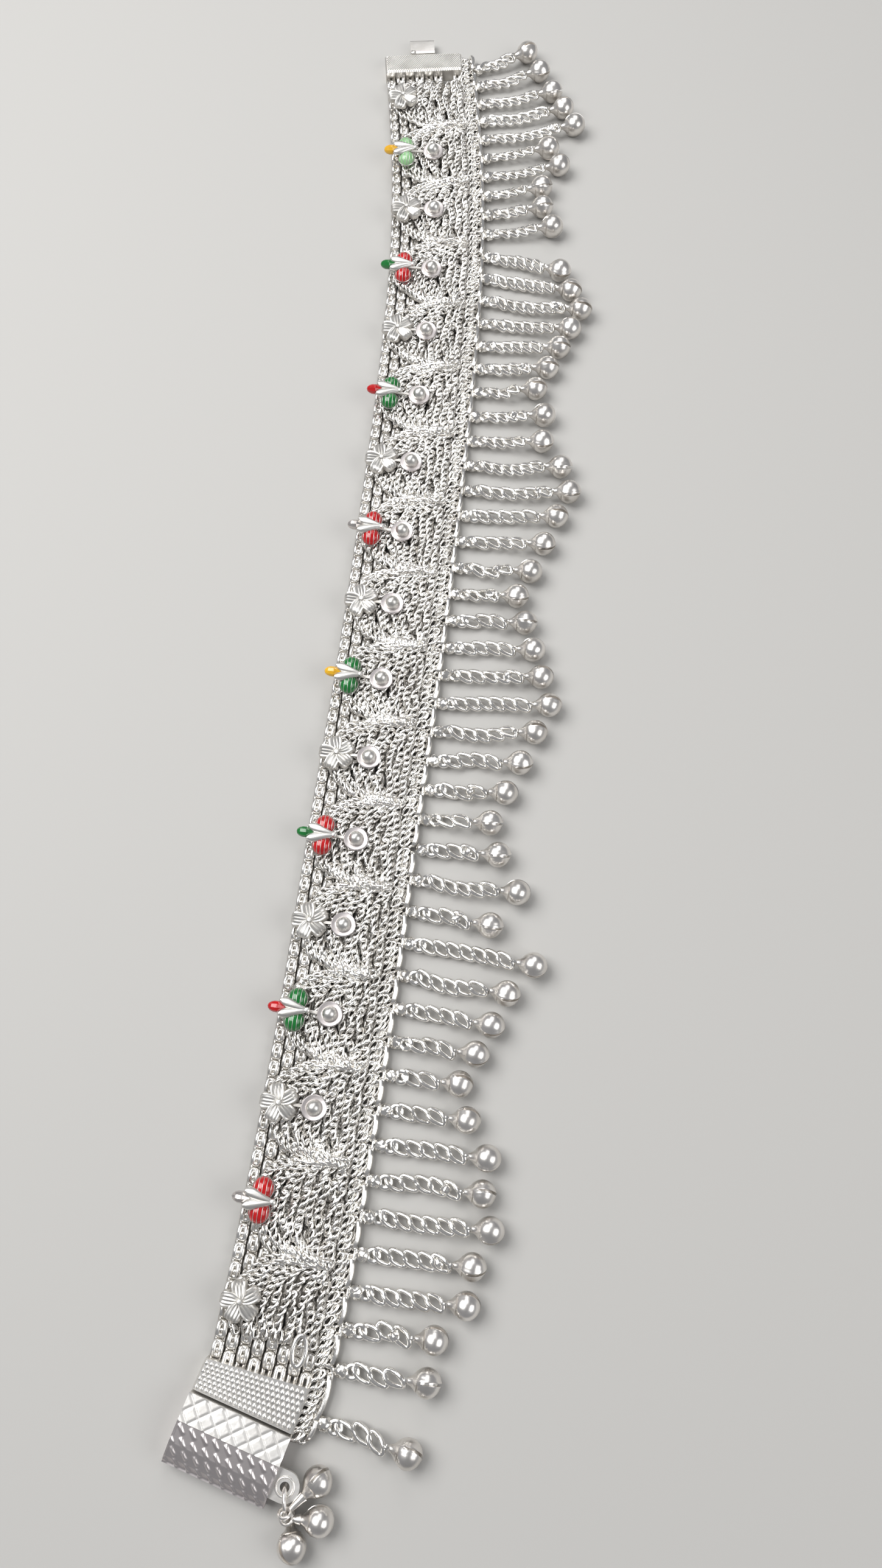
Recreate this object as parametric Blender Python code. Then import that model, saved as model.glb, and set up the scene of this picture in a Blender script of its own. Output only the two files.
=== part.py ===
"""Payal anklet, lying open and flat: a woven silver band with flower and enamel bud motifs,
swags of fine chain, a fringe of bells along one edge, and a box clasp. Metres, +Z up."""

import math

import bmesh
import bpy
from mathutils import Vector

# Clearances
GAP = 0.0003
RUNNING = 0.0004

# Woven band
BAND_WIDTH = 0.0156
BAND_THICK = 0.0016
BAND_BEVEL = 0.0005
BAND_STEP = 0.0050

# Swags of fine chain on the band
SWAG_THICK = 0.0010
SWAG_COUNT = 17
SWAG_STATIONS = 7
SWAG_BEVEL = 0.0004
SWAG_LEAD = 0.0015
SWAG_INSET = 0.0020
PINCH_PLACE = 0.84
PINCH_WIDTH = 0.0016
SWAG_RISE = 0.8

# Flower motif
FLOWER_RADIUS = 0.0030
FLOWER_PETALS = 5
PETAL_STEPS = 4
FLOWER_HEIGHT = 0.0014
FLOWER_NOTCH = 0.30
FLOWER_CENTRE = 0.7
PETAL_ROUND = 0.7
MOTIF_INSET = 0.0031

# Flower from its foot up: shares of its radius and of its height, and dip between the petals
FLOWER_LEVELS = [(1.0, 0.0, 0.0), (1.0, 0.55, 0.0), (0.45, 1.0, 0.35)]

# Enamel bud motif
LOBE_LENGTH = 0.0017
LOBE_WIDTH = 0.0016
LOBE_HEIGHT = 0.0014
LOBE_SPREAD = 0.0017
BUD_LINE = 0.6
LEAF_LENGTH = 0.0047
LEAF_RADIUS = 0.0005
LEAF_ROOT = 0.0019
LEAF_ANGLE = math.radians(14)
TIP_RADIUS = 0.0009
TIP_LENGTH = 0.0017
TIP_PLACE = 0.0027

# Lobe from its foot up: shares of its reach and of its height
LOBE_LEVELS = [(1.0, 0.0), (0.95, 0.6), (0.5, 1.0)]

# Leaf from its root: shares of its length and of its radius
LEAF_LEVELS = [(0.0, 0.5), (0.62, 1.0), (1.0, 0.3)]

# Dome bead beside a motif
DOME_RADIUS = 0.0015
DOME_HEIGHT = 0.0014
COLLAR_RADIUS = 0.0021
COLLAR_HEIGHT = 0.0004
DOME_PLACE = 0.0054
DOME_SHOULDER = 0.75
SHOULDER_HEIGHT = 0.66
STRIP_WIDTH = 0.0012
STRIP_THICK = 0.0003
DOME_SIDES = 10
BARE_MOTIFS = (0, 1, 16)

# Edge chain
EDGE_WIDTH = 0.0027
EDGE_HEIGHT = 0.0022
EDGE_SIDES = 8
EDGE_LEAD = 0.0028
EDGE_TAIL = 0.0008

# Drops and bells
BELL_RADIUS = 0.0022
BELL_SIDES = 10
BELL_ROOM = 0.00065
BELL_NECK = 0.00075
NECK_PLACE = 1.45
NECK_LIFT = 0.75
NECK_TAPER = 0.5
BELL_PLACE = 1.7
DROP_RADIUS = 0.0010
LINK_PITCH = 0.0019
LONGEST_LINKS = 8
SHORTEST_LINKS = 4
DROPS_TO_SCALLOP = 8
LONG_DROP = 5
DROPS_TO_SECTION = 3

# Bell from its neck outwards: place past its middle and radius, as shares of its radius
BELL_LEVELS = [(-0.5, 0.87), (0.0, 1.0), (0.6, 0.8)]

# Spread of the drops along the edge chain: share of the drops, share of the chain
DROP_SPREAD = [(0.0, 0.0), (0.79, 0.811), (1.0, 1.0)]

# End bar and tongue bar
BAR_LENGTH = 0.0053
BAR_HEIGHT = 0.0032
BAR_BEVEL = 0.0003
BAR_OVERHANG = 0.0001
TONGUE_BAR_LENGTH = 0.0044
TONGUE_BAR_HEIGHT = 0.0026

# Tongue
TONGUE_WIDTH = 0.0050
TONGUE_REACH = 0.0050
TONGUE_ROOT = 0.0020
LEAF_SHEET = 0.0004
LEAF_SPRING = 0.0011

# Clasp box
BOX_LENGTH = 0.0098
BOX_WALL = 0.0006
BOX_BACK = 0.0040
BOX_RIDGE = 0.0044
BOX_FRONT = 0.0026
BOX_RIDGE_PLACE = 0.40
CORNER_SINK = 1.4
SLOPE_DRAW = 0.6
TAB_REACH = 0.0034
TAB_WIDTH = 0.0034
TAB_THICK = 0.0007
TAB_PLACE = 0.62
TAB_STEP = 30
EYE_RADIUS = 0.0007

# Slope of the box from its front up to its ridge: share of its length, share of the rise
BOX_SLOPE = [(0.9, 0.42), (0.7, 0.82)]

# Clasp ring and its bells
RING_RADIUS = 0.0020
RING_TURN = math.radians(27)
RING_WIRE = 0.0003
RING_SIDES = 14
WIRE_SIDES = 6
LOOP_WIRE = 0.00025
LOOP_SIDES = 10
LOOP_WIRE_SIDES = 5
SHANK_THICK = 1.6

# Route of the band's middle line, from the end bar to the tongue bar
ROUTE = [
    (0.0000, 0.0000),
    (0.0011, 0.0028),
    (0.0027, 0.0110),
    (0.0051, 0.0250),
    (0.0093, 0.0537),
    (0.0130, 0.0837),
    (0.0168, 0.1127),
    (0.0201, 0.1417),
    (0.0231, 0.1717),
    (0.0250, 0.1987),
    (0.0252, 0.2217),
    (0.0238, 0.2480),
]
ROUTE_STEPS = 24

# Lean of the drops towards the tongue bar, in degrees: drop counted from the end bar, lean
DROP_LEAN = [
    (0, 5), (3, 4), (6, 2), (9, 1), (11, -3), (14, -4), (16, 2), (20, 6), (24, 3), (26, 1), (28, 4), (31, 3),
    (33, 6), (35, 1), (36, -2), (37, -4.5), (38, -9), (39, -14), (40, 7), (43, 7), (46, 6), (47, 6), (48, 11),
    (49, 16),
]

# Drops that have more or fewer links than the scallop gives: drop counted from the end bar, links
ODD_DROPS = {1: 1, 3: 1, 7: 1, 13: 1, 14: -2, 15: 1, 31: -1, 42: -1, 44: -2}

# Bells of the clasp ring: place round the ring and heading from straight across, in degrees,
# and length of the shank between the ring and the bell
CLASP_BELLS = [
    (58, 61, 0.0036),
    (10, 15, 0.0024),
    (-34, -56, 0.0022),
]

# Worked out from the sizes above
SWAG_BASE = BAND_THICK + GAP
SWAG_TOP = SWAG_BASE + SWAG_THICK
MOTIF_BASE = SWAG_TOP + GAP
EDGE_PLACE = BAND_WIDTH + BAR_OVERHANG + GAP + EDGE_WIDTH / 2
DROP_PITCH = 2 * BELL_RADIUS + BELL_ROOM

COLOURS = {
    "silver": ((0.78, 0.76, 0.72, 1.0), 0.28, 1.0),
    "enamel_red": ((0.62, 0.02, 0.02, 1.0), 0.15, 0.0),
    "enamel_green": ((0.01, 0.25, 0.06, 1.0), 0.15, 0.0),
}


def clear_scene():
    for item in list(bpy.data.objects):
        bpy.data.objects.remove(item)


def material(name):
    """A Principled material of its own for one sub-part."""
    colour, roughness, metallic = COLOURS[name]
    result = bpy.data.materials.new(name)
    result.use_nodes = True
    shader = result.node_tree.nodes["Principled BSDF"]
    shader.inputs["Base Color"].default_value = colour
    shader.inputs["Roughness"].default_value = roughness
    shader.inputs["Metallic"].default_value = metallic
    return result


def smooth_track(points, steps):
    """Points of a smooth curve through the route's own points."""
    first = points[0] * 2 - points[1]
    last = points[-1] * 2 - points[-2]
    posts = [first] + points + [last]
    track = []
    for before, start, end, after in zip(posts, posts[1:], posts[2:], posts[3:]):
        for step in range(steps):
            t = step / steps
            track.append(0.5 * (2 * start + (end - before) * t
                                + (2 * before - 5 * start + 4 * end - after) * t * t
                                + (3 * start - before - 3 * end + after) * t ** 3))
    return track + [points[-1]]


TRACK = smooth_track([Vector(point) for point in ROUTE], ROUTE_STEPS)
REACH = [0.0]
for near, far in zip(TRACK, TRACK[1:]):
    REACH.append(REACH[-1] + (far - near).length)
ROUTE_LENGTH = REACH[-1]
BAND_START = BAR_LENGTH / 2 + GAP
BAND_END = ROUTE_LENGTH - TONGUE_BAR_LENGTH / 2 - GAP


def route_at(along):
    """Point and direction of the route at a distance along it; its ends run on straight."""
    index = 0
    while index < len(TRACK) - 2 and REACH[index + 1] < along:
        index += 1
    span = TRACK[index + 1] - TRACK[index]
    direction = span.normalized()
    return TRACK[index] + direction * (along - REACH[index]), direction


def place(along, across, height):
    """World point: distance along the route, distance from the motif edge, height."""
    point, direction = route_at(along)
    side = Vector((direction.y, -direction.x))
    flat = point + side * (across - BAND_WIDTH / 2)
    return Vector((flat.x, flat.y, height))


def axes_at(along):
    """Direction along the route and direction across it, away from the motif edge."""
    direction = route_at(along)[1]
    return Vector((direction.x, direction.y, 0)), Vector((direction.y, -direction.x, 0))


def loft(rings):
    """Closed mesh through rings of points; a ring of one point is a tip."""
    body = bmesh.new()
    loops = [[body.verts.new(point) for point in ring] for ring in rings]
    for lower, upper in zip(loops, loops[1:]):
        count = max(len(lower), len(upper))
        for i in range(count):
            j = (i + 1) % count
            if len(lower) == 1:
                body.faces.new((lower[0], upper[i], upper[j]))
            elif len(upper) == 1:
                body.faces.new((lower[i], lower[j], upper[0]))
            else:
                body.faces.new((lower[i], lower[j], upper[j], upper[i]))
    for loop in (loops[0], loops[-1]):
        if len(loop) > 2:
            body.faces.new(loop)
    bmesh.ops.recalc_face_normals(body, faces=body.faces)
    return body


def ring_points(centre, first, second, radius, sides, turn=0.0):
    """Points of a circle or ellipse; first and second are the directions of its axes."""
    wide, high = radius if isinstance(radius, tuple) else (radius, radius)
    angles = [turn + math.tau * i / sides for i in range(sides)]
    return [centre + first * (wide * math.cos(a)) + second * (high * math.sin(a)) for a in angles]


def torus(centre, first, second, radius, wire, sides, wire_sides):
    """Closed ring of round wire in the plane of first and second."""
    body = bmesh.new()
    normal = first.cross(second)
    loops = []
    for i in range(sides):
        angle = math.tau * i / sides
        out = first * math.cos(angle) + second * math.sin(angle)
        points = ring_points(centre + out * radius, out, normal, wire, wire_sides)
        loops.append([body.verts.new(point) for point in points])
    for lower, upper in zip(loops, loops[1:] + loops[:1]):
        for i in range(wire_sides):
            j = (i + 1) % wire_sides
            body.faces.new((lower[i], lower[j], upper[j], upper[i]))
    bmesh.ops.recalc_face_normals(body, faces=body.faces)
    return body


def part(name, body, finish, flat_angle=math.radians(35)):
    """Named object of one closed body with its own material."""
    mesh = bpy.data.meshes.new(name)
    body.to_mesh(mesh)
    body.free()
    mesh.materials.append(material(finish))
    mesh.shade_smooth()
    mesh.set_sharp_from_angle(angle=flat_angle)
    result = bpy.data.objects.new(name, mesh)
    bpy.context.scene.collection.objects.link(result)
    return result


def joined(body, others, operation):
    """The body with the others fused to it or cut from it."""
    base = part("base", body, "silver")
    tools = [part("tool", other, "silver") for other in others]
    for tool in tools:
        step = base.modifiers.new("step", "BOOLEAN")
        step.operation = operation
        step.solver = "EXACT"
        step.object = tool
    graph = bpy.context.evaluated_depsgraph_get()
    mesh = bpy.data.meshes.new_from_object(base.evaluated_get(graph))
    result = bmesh.new()
    result.from_mesh(mesh)
    for item in [base] + tools:
        bpy.data.objects.remove(item)
    return result


def fused(bodies):
    return joined(bodies[0], bodies[1:], "UNION") if len(bodies) > 1 else bodies[0]


def carved(body, tools):
    return joined(body, tools, "DIFFERENCE")


def block(along, across, height):
    """Block between two distances along the route, two across it and two heights."""
    rings = []
    for place_along in along:
        corners = [(across[0], height[0]), (across[1], height[0]), (across[1], height[1]),
                   (across[0], height[1])]
        rings.append([place(place_along, a, z) for a, z in corners])
    return loft(rings)


def bevelled_bar(start, end, left, right, height, bevel):
    """Bar across the band with its upper edges broken."""
    outline = [(left, 0), (right, 0), (right, height - bevel), (right - bevel, height),
               (left + bevel, height), (left, height - bevel)]
    return loft([[place(along, a, z) for a, z in outline] for along in (start, end)])


def woven_band():
    steps = math.ceil((BAND_END - BAND_START) / BAND_STEP)
    shoulder = BAND_THICK - BAND_BEVEL
    outline = [(0, 0), (BAND_WIDTH, 0), (BAND_WIDTH, shoulder), (BAND_WIDTH - BAND_BEVEL, BAND_THICK),
               (BAND_BEVEL, BAND_THICK), (0, shoulder)]
    rings = []
    for i in range(steps + 1):
        along = BAND_START + (BAND_END - BAND_START) * i / steps
        rings.append([place(along, a, z) for a, z in outline])
    part("woven_band", loft(rings), "silver")


def section_span(index):
    """Start and end of one motif's stretch of the band."""
    pitch = (BAND_END - BAND_START - SWAG_LEAD) / SWAG_COUNT
    start = BAND_START + SWAG_LEAD + pitch * index
    return start, start + pitch


def swag(index):
    """Fan of fine chains, gathered at both ends and spread under its motif."""
    start, end = section_span(index)
    pinch = BAND_WIDTH * PINCH_PLACE
    rings = []
    for i in range(SWAG_STATIONS):
        share = i / (SWAG_STATIONS - 1)
        spread = math.sin(math.pi * share) ** SWAG_RISE if 0 < share < 1 else 0.0
        left = pinch - PINCH_WIDTH / 2 - (pinch - PINCH_WIDTH / 2 - SWAG_INSET) * spread
        right = pinch + PINCH_WIDTH / 2 + (BAND_WIDTH - pinch - PINCH_WIDTH / 2) * spread
        along = start + GAP / 2 + (end - start - GAP) * share
        outline = [(left, SWAG_BASE), (right, SWAG_BASE), (right - SWAG_BEVEL, SWAG_TOP),
                   (left + SWAG_BEVEL, SWAG_TOP)]
        rings.append([place(along, a, z) for a, z in outline])
    part(f"swag_{index + 1:02d}", loft(rings), "silver")


def flower_body(centre, ahead, aside):
    """Five-petal flower: a lobed outline with raised petals round a low hub."""
    steps = FLOWER_PETALS * PETAL_STEPS
    up = Vector((0, 0, 1))
    rings = []
    for reach, rise, dip in FLOWER_LEVELS:
        ring = []
        for i in range(steps):
            angle = math.tau * i / steps
            swell = abs(math.cos(angle * FLOWER_PETALS / 2))
            radius = FLOWER_RADIUS * reach * (1 - FLOWER_NOTCH * (1 - swell ** PETAL_ROUND))
            height = FLOWER_HEIGHT * (rise - dip * (1 - swell))
            spot = centre + ahead * (radius * math.sin(angle)) - aside * (radius * math.cos(angle))
            ring.append(spot + up * height)
        rings.append(ring)
    rings.append([centre + up * (FLOWER_HEIGHT * FLOWER_CENTRE)])
    return loft(rings)


def bud_bodies(centre, ahead, aside):
    """Enamel bud: two domed lobes, two smooth leaves in a V, and a pointed tip over the edge."""
    up = Vector((0, 0, 1))
    bodies = []
    for side in (-1, 1):
        middle = centre + ahead * (side * LOBE_SPREAD)
        rings = []
        for reach, rise in LOBE_LEVELS:
            wide = (LOBE_WIDTH * reach, LOBE_LENGTH * reach)
            rings.append(ring_points(middle + up * (LOBE_HEIGHT * rise), aside, ahead, wide, DOME_SIDES))
        bodies.append(loft(rings))
    for side in (-1, 1):
        root = centre + aside * LEAF_ROOT + up * (LOBE_HEIGHT * BUD_LINE)
        line = -aside * math.cos(LEAF_ANGLE) + ahead * (side * math.sin(LEAF_ANGLE))
        across = line.cross(up)
        rings = []
        for share, reach in LEAF_LEVELS:
            rings.append(ring_points(root + line * (LEAF_LENGTH * share), across, up,
                                     LEAF_RADIUS * reach, WIRE_SIDES))
        bodies.append(loft(rings))
    tip = centre - aside * TIP_PLACE + up * (LOBE_HEIGHT * BUD_LINE)
    rings = [[tip + aside * (TIP_PLACE + LEAF_ROOT)],
             ring_points(tip, ahead, up, TIP_RADIUS, WIRE_SIDES),
             [tip - aside * TIP_LENGTH]]
    bodies.append(loft(rings))
    return bodies


def dome_body(centre):
    """Dome bead in its flat round collar."""
    ahead, aside, up = Vector((1, 0, 0)), Vector((0, 1, 0)), Vector((0, 0, 1))
    levels = [(COLLAR_RADIUS, 0.0), (COLLAR_RADIUS, COLLAR_HEIGHT), (DOME_RADIUS, COLLAR_HEIGHT),
              (DOME_RADIUS * DOME_SHOULDER, COLLAR_HEIGHT + DOME_HEIGHT * SHOULDER_HEIGHT)]
    rings = [ring_points(centre + up * z, ahead, aside, radius, DOME_SIDES) for radius, z in levels]
    rings.append([centre + up * (COLLAR_HEIGHT + DOME_HEIGHT)])
    return loft(rings)


def motif(index, number, is_flower):
    """One motif, soldered by a strip to the dome bead beside it."""
    start, end = section_span(index)
    along = (start + end) / 2
    ahead, aside = axes_at(along)
    centre = place(along, MOTIF_INSET, MOTIF_BASE)
    if is_flower:
        bodies = [flower_body(centre, ahead, aside)]
        name, finish = f"flower_{number:02d}", "silver"
    else:
        bodies = bud_bodies(centre, ahead, aside)
        name, finish = f"enamel_bud_{number:02d}", "enamel_red" if number % 2 else "enamel_green"
    if index not in BARE_MOTIFS:
        dome = centre + aside * DOME_PLACE
        bodies.append(dome_body(dome))
        half = STRIP_WIDTH / 2
        up = Vector((0, 0, 1))
        outline = [(-half, 0), (half, 0), (half, STRIP_THICK), (-half, STRIP_THICK)]
        bodies.append(loft([[spot + ahead * u + up * z for u, z in outline] for spot in (centre, dome)]))
    part(name, fused(bodies), finish)


def lean_of(number):
    """Lean of one drop, read between the rows of the lean table."""
    for (low, lean_low), (high, lean_high) in zip(DROP_LEAN, DROP_LEAN[1:]):
        if low <= number <= high:
            return math.radians(lean_low + (lean_high - lean_low) * (number - low) / (high - low))
    return math.radians(DROP_LEAN[-1][1])


def drop_place(number, drops):
    """Distance along the route of a drop, or of an end of the chain between drops."""
    share = number / drops
    for (low, start), (high, end) in zip(DROP_SPREAD, DROP_SPREAD[1:]):
        if low <= share <= high:
            spread = start + (end - start) * (share - low) / (high - low)
    return -EDGE_LEAD + (EDGE_LEAD + ROUTE_LENGTH + EDGE_TAIL) * spread


def links_of(number):
    """Links of one drop: the fringe hangs in scallops from short to long and back."""
    step = (number - LONG_DROP) % DROPS_TO_SCALLOP
    away = min(step, DROPS_TO_SCALLOP - step)
    return max(SHORTEST_LINKS, LONGEST_LINKS - away + ODD_DROPS.get(number, 0))


def drop_body(low, line, reach):
    """Chain tube and ghungroo bell as one body, lying on the ground."""
    up = Vector((0, 0, 1))
    across = line.cross(up)
    end = reach - BELL_RADIUS * NECK_PLACE
    stations = [
        (0.0, DROP_RADIUS, DROP_RADIUS),
        (end - BELL_RADIUS * NECK_TAPER, DROP_RADIUS, DROP_RADIUS),
        (end, BELL_RADIUS * NECK_LIFT, BELL_NECK),
    ]
    stations += [(reach + BELL_RADIUS * past, BELL_RADIUS, BELL_RADIUS * wide) for past, wide in BELL_LEVELS]
    rings = []
    for away, height, radius in stations:
        centre = low + line * away + up * height
        rings.append(ring_points(centre, across, up, radius, BELL_SIDES, -math.pi / 2))
    rings.append([low + line * (reach + BELL_RADIUS) + up * BELL_RADIUS])
    return loft(rings)


def fringe(section, first, last, drops):
    """A stretch of the edge chain with its drops and bells."""
    start = drop_place(first, drops) + GAP / 2
    end = drop_place(last, drops) - GAP / 2
    up = Vector((0, 0, 1))
    rings = []
    for i in range(last - first + 1):
        along = start + (end - start) * i / (last - first)
        aside = axes_at(along)[1]
        centre = place(along, EDGE_PLACE, EDGE_HEIGHT / 2)
        rings.append(ring_points(centre, aside, up, (EDGE_WIDTH / 2, EDGE_HEIGHT / 2), EDGE_SIDES,
                                 math.pi / EDGE_SIDES))
    bodies = [loft(rings)]
    for number in range(first, last):
        along = drop_place(number + 0.5, drops)
        ahead, aside = axes_at(along)
        lean = lean_of(number)
        line = aside * math.cos(lean) + ahead * math.sin(lean)
        reach = EDGE_WIDTH / 2 + LINK_PITCH * links_of(number) + BELL_RADIUS * BELL_PLACE
        bodies.append(drop_body(place(along, EDGE_PLACE, 0), line, reach))
    part(f"fringe_{section + 1:02d}", fused(bodies), "silver")


def edge_fringe():
    run = EDGE_LEAD + ROUTE_LENGTH + EDGE_TAIL
    drops = int(run / DROP_PITCH)
    for section, first in enumerate(range(0, drops, DROPS_TO_SECTION)):
        fringe(section, first, min(first + DROPS_TO_SECTION, drops), drops)


def tongue_end():
    """Ribbed bar with the folded spring tongue seated in its slot."""
    left, right = -BAR_OVERHANG, BAND_WIDTH + BAR_OVERHANG
    start = ROUTE_LENGTH - TONGUE_BAR_LENGTH / 2
    end = ROUTE_LENGTH + TONGUE_BAR_LENGTH / 2
    middle = BAND_WIDTH / 2
    low = (TONGUE_BAR_HEIGHT - LEAF_SPRING) / 2
    high = low + LEAF_SPRING
    bar = bevelled_bar(start, end, left, right, TONGUE_BAR_HEIGHT, BAR_BEVEL)
    slot = block((end - TONGUE_ROOT - GAP, end + GAP),
                 (middle - TONGUE_WIDTH / 2 - GAP, middle + TONGUE_WIDTH / 2 + GAP),
                 (low - GAP, high + GAP))
    part("tongue_bar", carved(bar, [slot]), "silver")
    tip = end + TONGUE_REACH
    leaf = block((end - TONGUE_ROOT, tip), (middle - TONGUE_WIDTH / 2, middle + TONGUE_WIDTH / 2),
                 (low, high))
    fold = block((end - TONGUE_ROOT - GAP, tip - LEAF_SHEET),
                 (middle - TONGUE_WIDTH / 2 - GAP, middle + TONGUE_WIDTH / 2 + GAP),
                 (low + LEAF_SHEET, high - LEAF_SHEET))
    part("tongue", carved(leaf, [fold]), "silver")


def box_profile(inset):
    """Side outline of the clasp box, drawn in by a wall: distance out from its back, height."""
    ridge = BOX_LENGTH * BOX_RIDGE_PLACE
    front = BOX_LENGTH - inset
    (low_place, low_rise), (high_place, high_rise) = BOX_SLOPE
    return [(inset, inset), (front, inset), (front, BOX_FRONT - inset * CORNER_SINK),
            (BOX_LENGTH * low_place - inset * SLOPE_DRAW,
             BOX_FRONT + (BOX_RIDGE - BOX_FRONT) * low_rise - inset),
            (BOX_LENGTH * high_place, BOX_FRONT + (BOX_RIDGE - BOX_FRONT) * high_rise - inset),
            (ridge, BOX_RIDGE - inset), (inset, BOX_BACK - inset)]


def clasp_box():
    """Hollow box with a slot for the tongue in its front, and a tab with an eye at its side."""
    back = -BAR_LENGTH / 2 - GAP
    left, right = -BAR_OVERHANG, BAND_WIDTH + BAR_OVERHANG
    middle = BAND_WIDTH / 2
    shell = loft([[place(back - out, a, z) for out, z in box_profile(0.0)] for a in (left, right)])
    hollow = loft([[place(back - out, a, z) for out, z in box_profile(BOX_WALL)]
                   for a in (left + BOX_WALL, right - BOX_WALL)])
    slot_low = BOX_WALL
    slot = block((back - BOX_LENGTH - GAP, back - BOX_LENGTH + 2 * BOX_WALL),
                 (middle - TONGUE_WIDTH / 2 - RUNNING, middle + TONGUE_WIDTH / 2 + RUNNING),
                 (slot_low, slot_low + LEAF_SPRING + RUNNING))
    along, across = eye_place()
    centre = place(along, across, 0)
    ahead, aside = axes_at(along)
    up = Vector((0, 0, 1))
    top = tab_height()
    tab_arc = [math.radians(angle) for angle in range(-90, 91, TAB_STEP)]
    half = TAB_WIDTH / 2
    outline = [(-half, right - across - BOX_WALL / 2), (half, right - across - BOX_WALL / 2)]
    outline += [(half * -math.sin(a), half * math.cos(a)) for a in tab_arc]
    tab = loft([[centre + ahead * u + aside * v + up * z for u, v in outline]
                for z in (top - TAB_THICK, top)])
    eye = loft([ring_points(centre + up * z, ahead, aside, EYE_RADIUS, DOME_SIDES)
                for z in (top - 2 * TAB_THICK, top + TAB_THICK)])
    box = carved(shell, [hollow, slot])
    part("clasp_box", carved(fused([box, tab]), [eye]), "silver")


def eye_place():
    """Place of the tab's eye: along the route and across it."""
    along = -BAR_LENGTH / 2 - GAP - BOX_LENGTH * TAB_PLACE
    return along, BAND_WIDTH + BAR_OVERHANG + TAB_REACH - TAB_WIDTH / 2


def tab_height():
    return BOX_FRONT + BOX_WALL


def shank_bell(start, bell, tangent):
    """Bell with a wire loop round the clasp ring and a shank between them."""
    line = (bell - start).normalized()
    rim = (line - tangent * line.dot(tangent)).normalized()
    loop_radius = RING_WIRE + GAP + LOOP_WIRE
    loop = torus(start, rim, tangent.cross(rim), loop_radius, LOOP_WIRE, LOOP_SIDES, LOOP_WIRE_SIDES)
    foot = start + rim * loop_radius
    line = (bell - foot).normalized()
    across = line.cross(Vector((0, 0, 1))).normalized()
    over = across.cross(line)
    stations = [(foot, LOOP_WIRE * SHANK_THICK), (bell - line * BELL_RADIUS * NECK_PLACE, BELL_NECK)]
    stations += [(bell + line * (BELL_RADIUS * past), BELL_RADIUS * wide) for past, wide in BELL_LEVELS]
    rings = [ring_points(centre, across, over, radius, BELL_SIDES, -math.pi / 2)
             for centre, radius in stations]
    rings.append([bell + line * BELL_RADIUS])
    return fused([loft(rings), loop])


def clasp_ring():
    """Jump ring on edge through the tab's eye, and the bells that hang from it."""
    along, across = eye_place()
    ahead, aside = axes_at(along)
    up = Vector((0, 0, 1))
    out = aside * math.sin(RING_TURN) - ahead * math.cos(RING_TURN)
    eye = place(along, across, tab_height() - TAB_THICK / 2)
    height = RING_RADIUS + RING_WIRE
    tilt = math.asin((eye.z - height) / RING_RADIUS)
    centre = eye + out * (RING_RADIUS * math.cos(tilt)) - up * (eye.z - height)
    part("clasp_ring", torus(centre, out, up, RING_RADIUS, RING_WIRE, RING_SIDES, WIRE_SIDES), "silver")
    for number, (turn, heading, shank) in enumerate(CLASP_BELLS):
        turn, heading = math.radians(turn), math.radians(heading)
        start = centre + out * (RING_RADIUS * math.cos(turn)) + up * (RING_RADIUS * math.sin(turn))
        tangent = up * math.cos(turn) - out * math.sin(turn)
        line = aside * math.cos(heading) + ahead * math.sin(heading)
        fall = start.z - BELL_RADIUS
        bell = start + line * math.sqrt((shank + BELL_RADIUS) ** 2 - fall ** 2) - up * fall
        part(f"clasp_bell_{number + 1}", shank_bell(start, bell, tangent), "silver")


def build():
    clear_scene()
    woven_band()
    numbers = {True: 0, False: 0}
    for index in range(SWAG_COUNT):
        swag(index)
        is_flower = index % 2 == 0
        numbers[is_flower] += 1
        motif(index, numbers[is_flower], is_flower)
    edge_fringe()
    part("end_bar", bevelled_bar(-BAR_LENGTH / 2, BAR_LENGTH / 2, -BAR_OVERHANG,
                                 BAND_WIDTH + BAR_OVERHANG, BAR_HEIGHT, BAR_BEVEL), "silver")
    tongue_end()
    clasp_box()
    clasp_ring()


build()
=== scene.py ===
"""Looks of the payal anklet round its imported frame: a band woven of links, fans of fine chain,
ribbed flowers, enamelled buds, a fringe of ghungroo bells and an embossed box clasp. Metres, +Z up."""

import bisect
import random
from functools import partial
from math import asin, copysign, cos, hypot, pi, radians, sin, sqrt, tau

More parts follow.
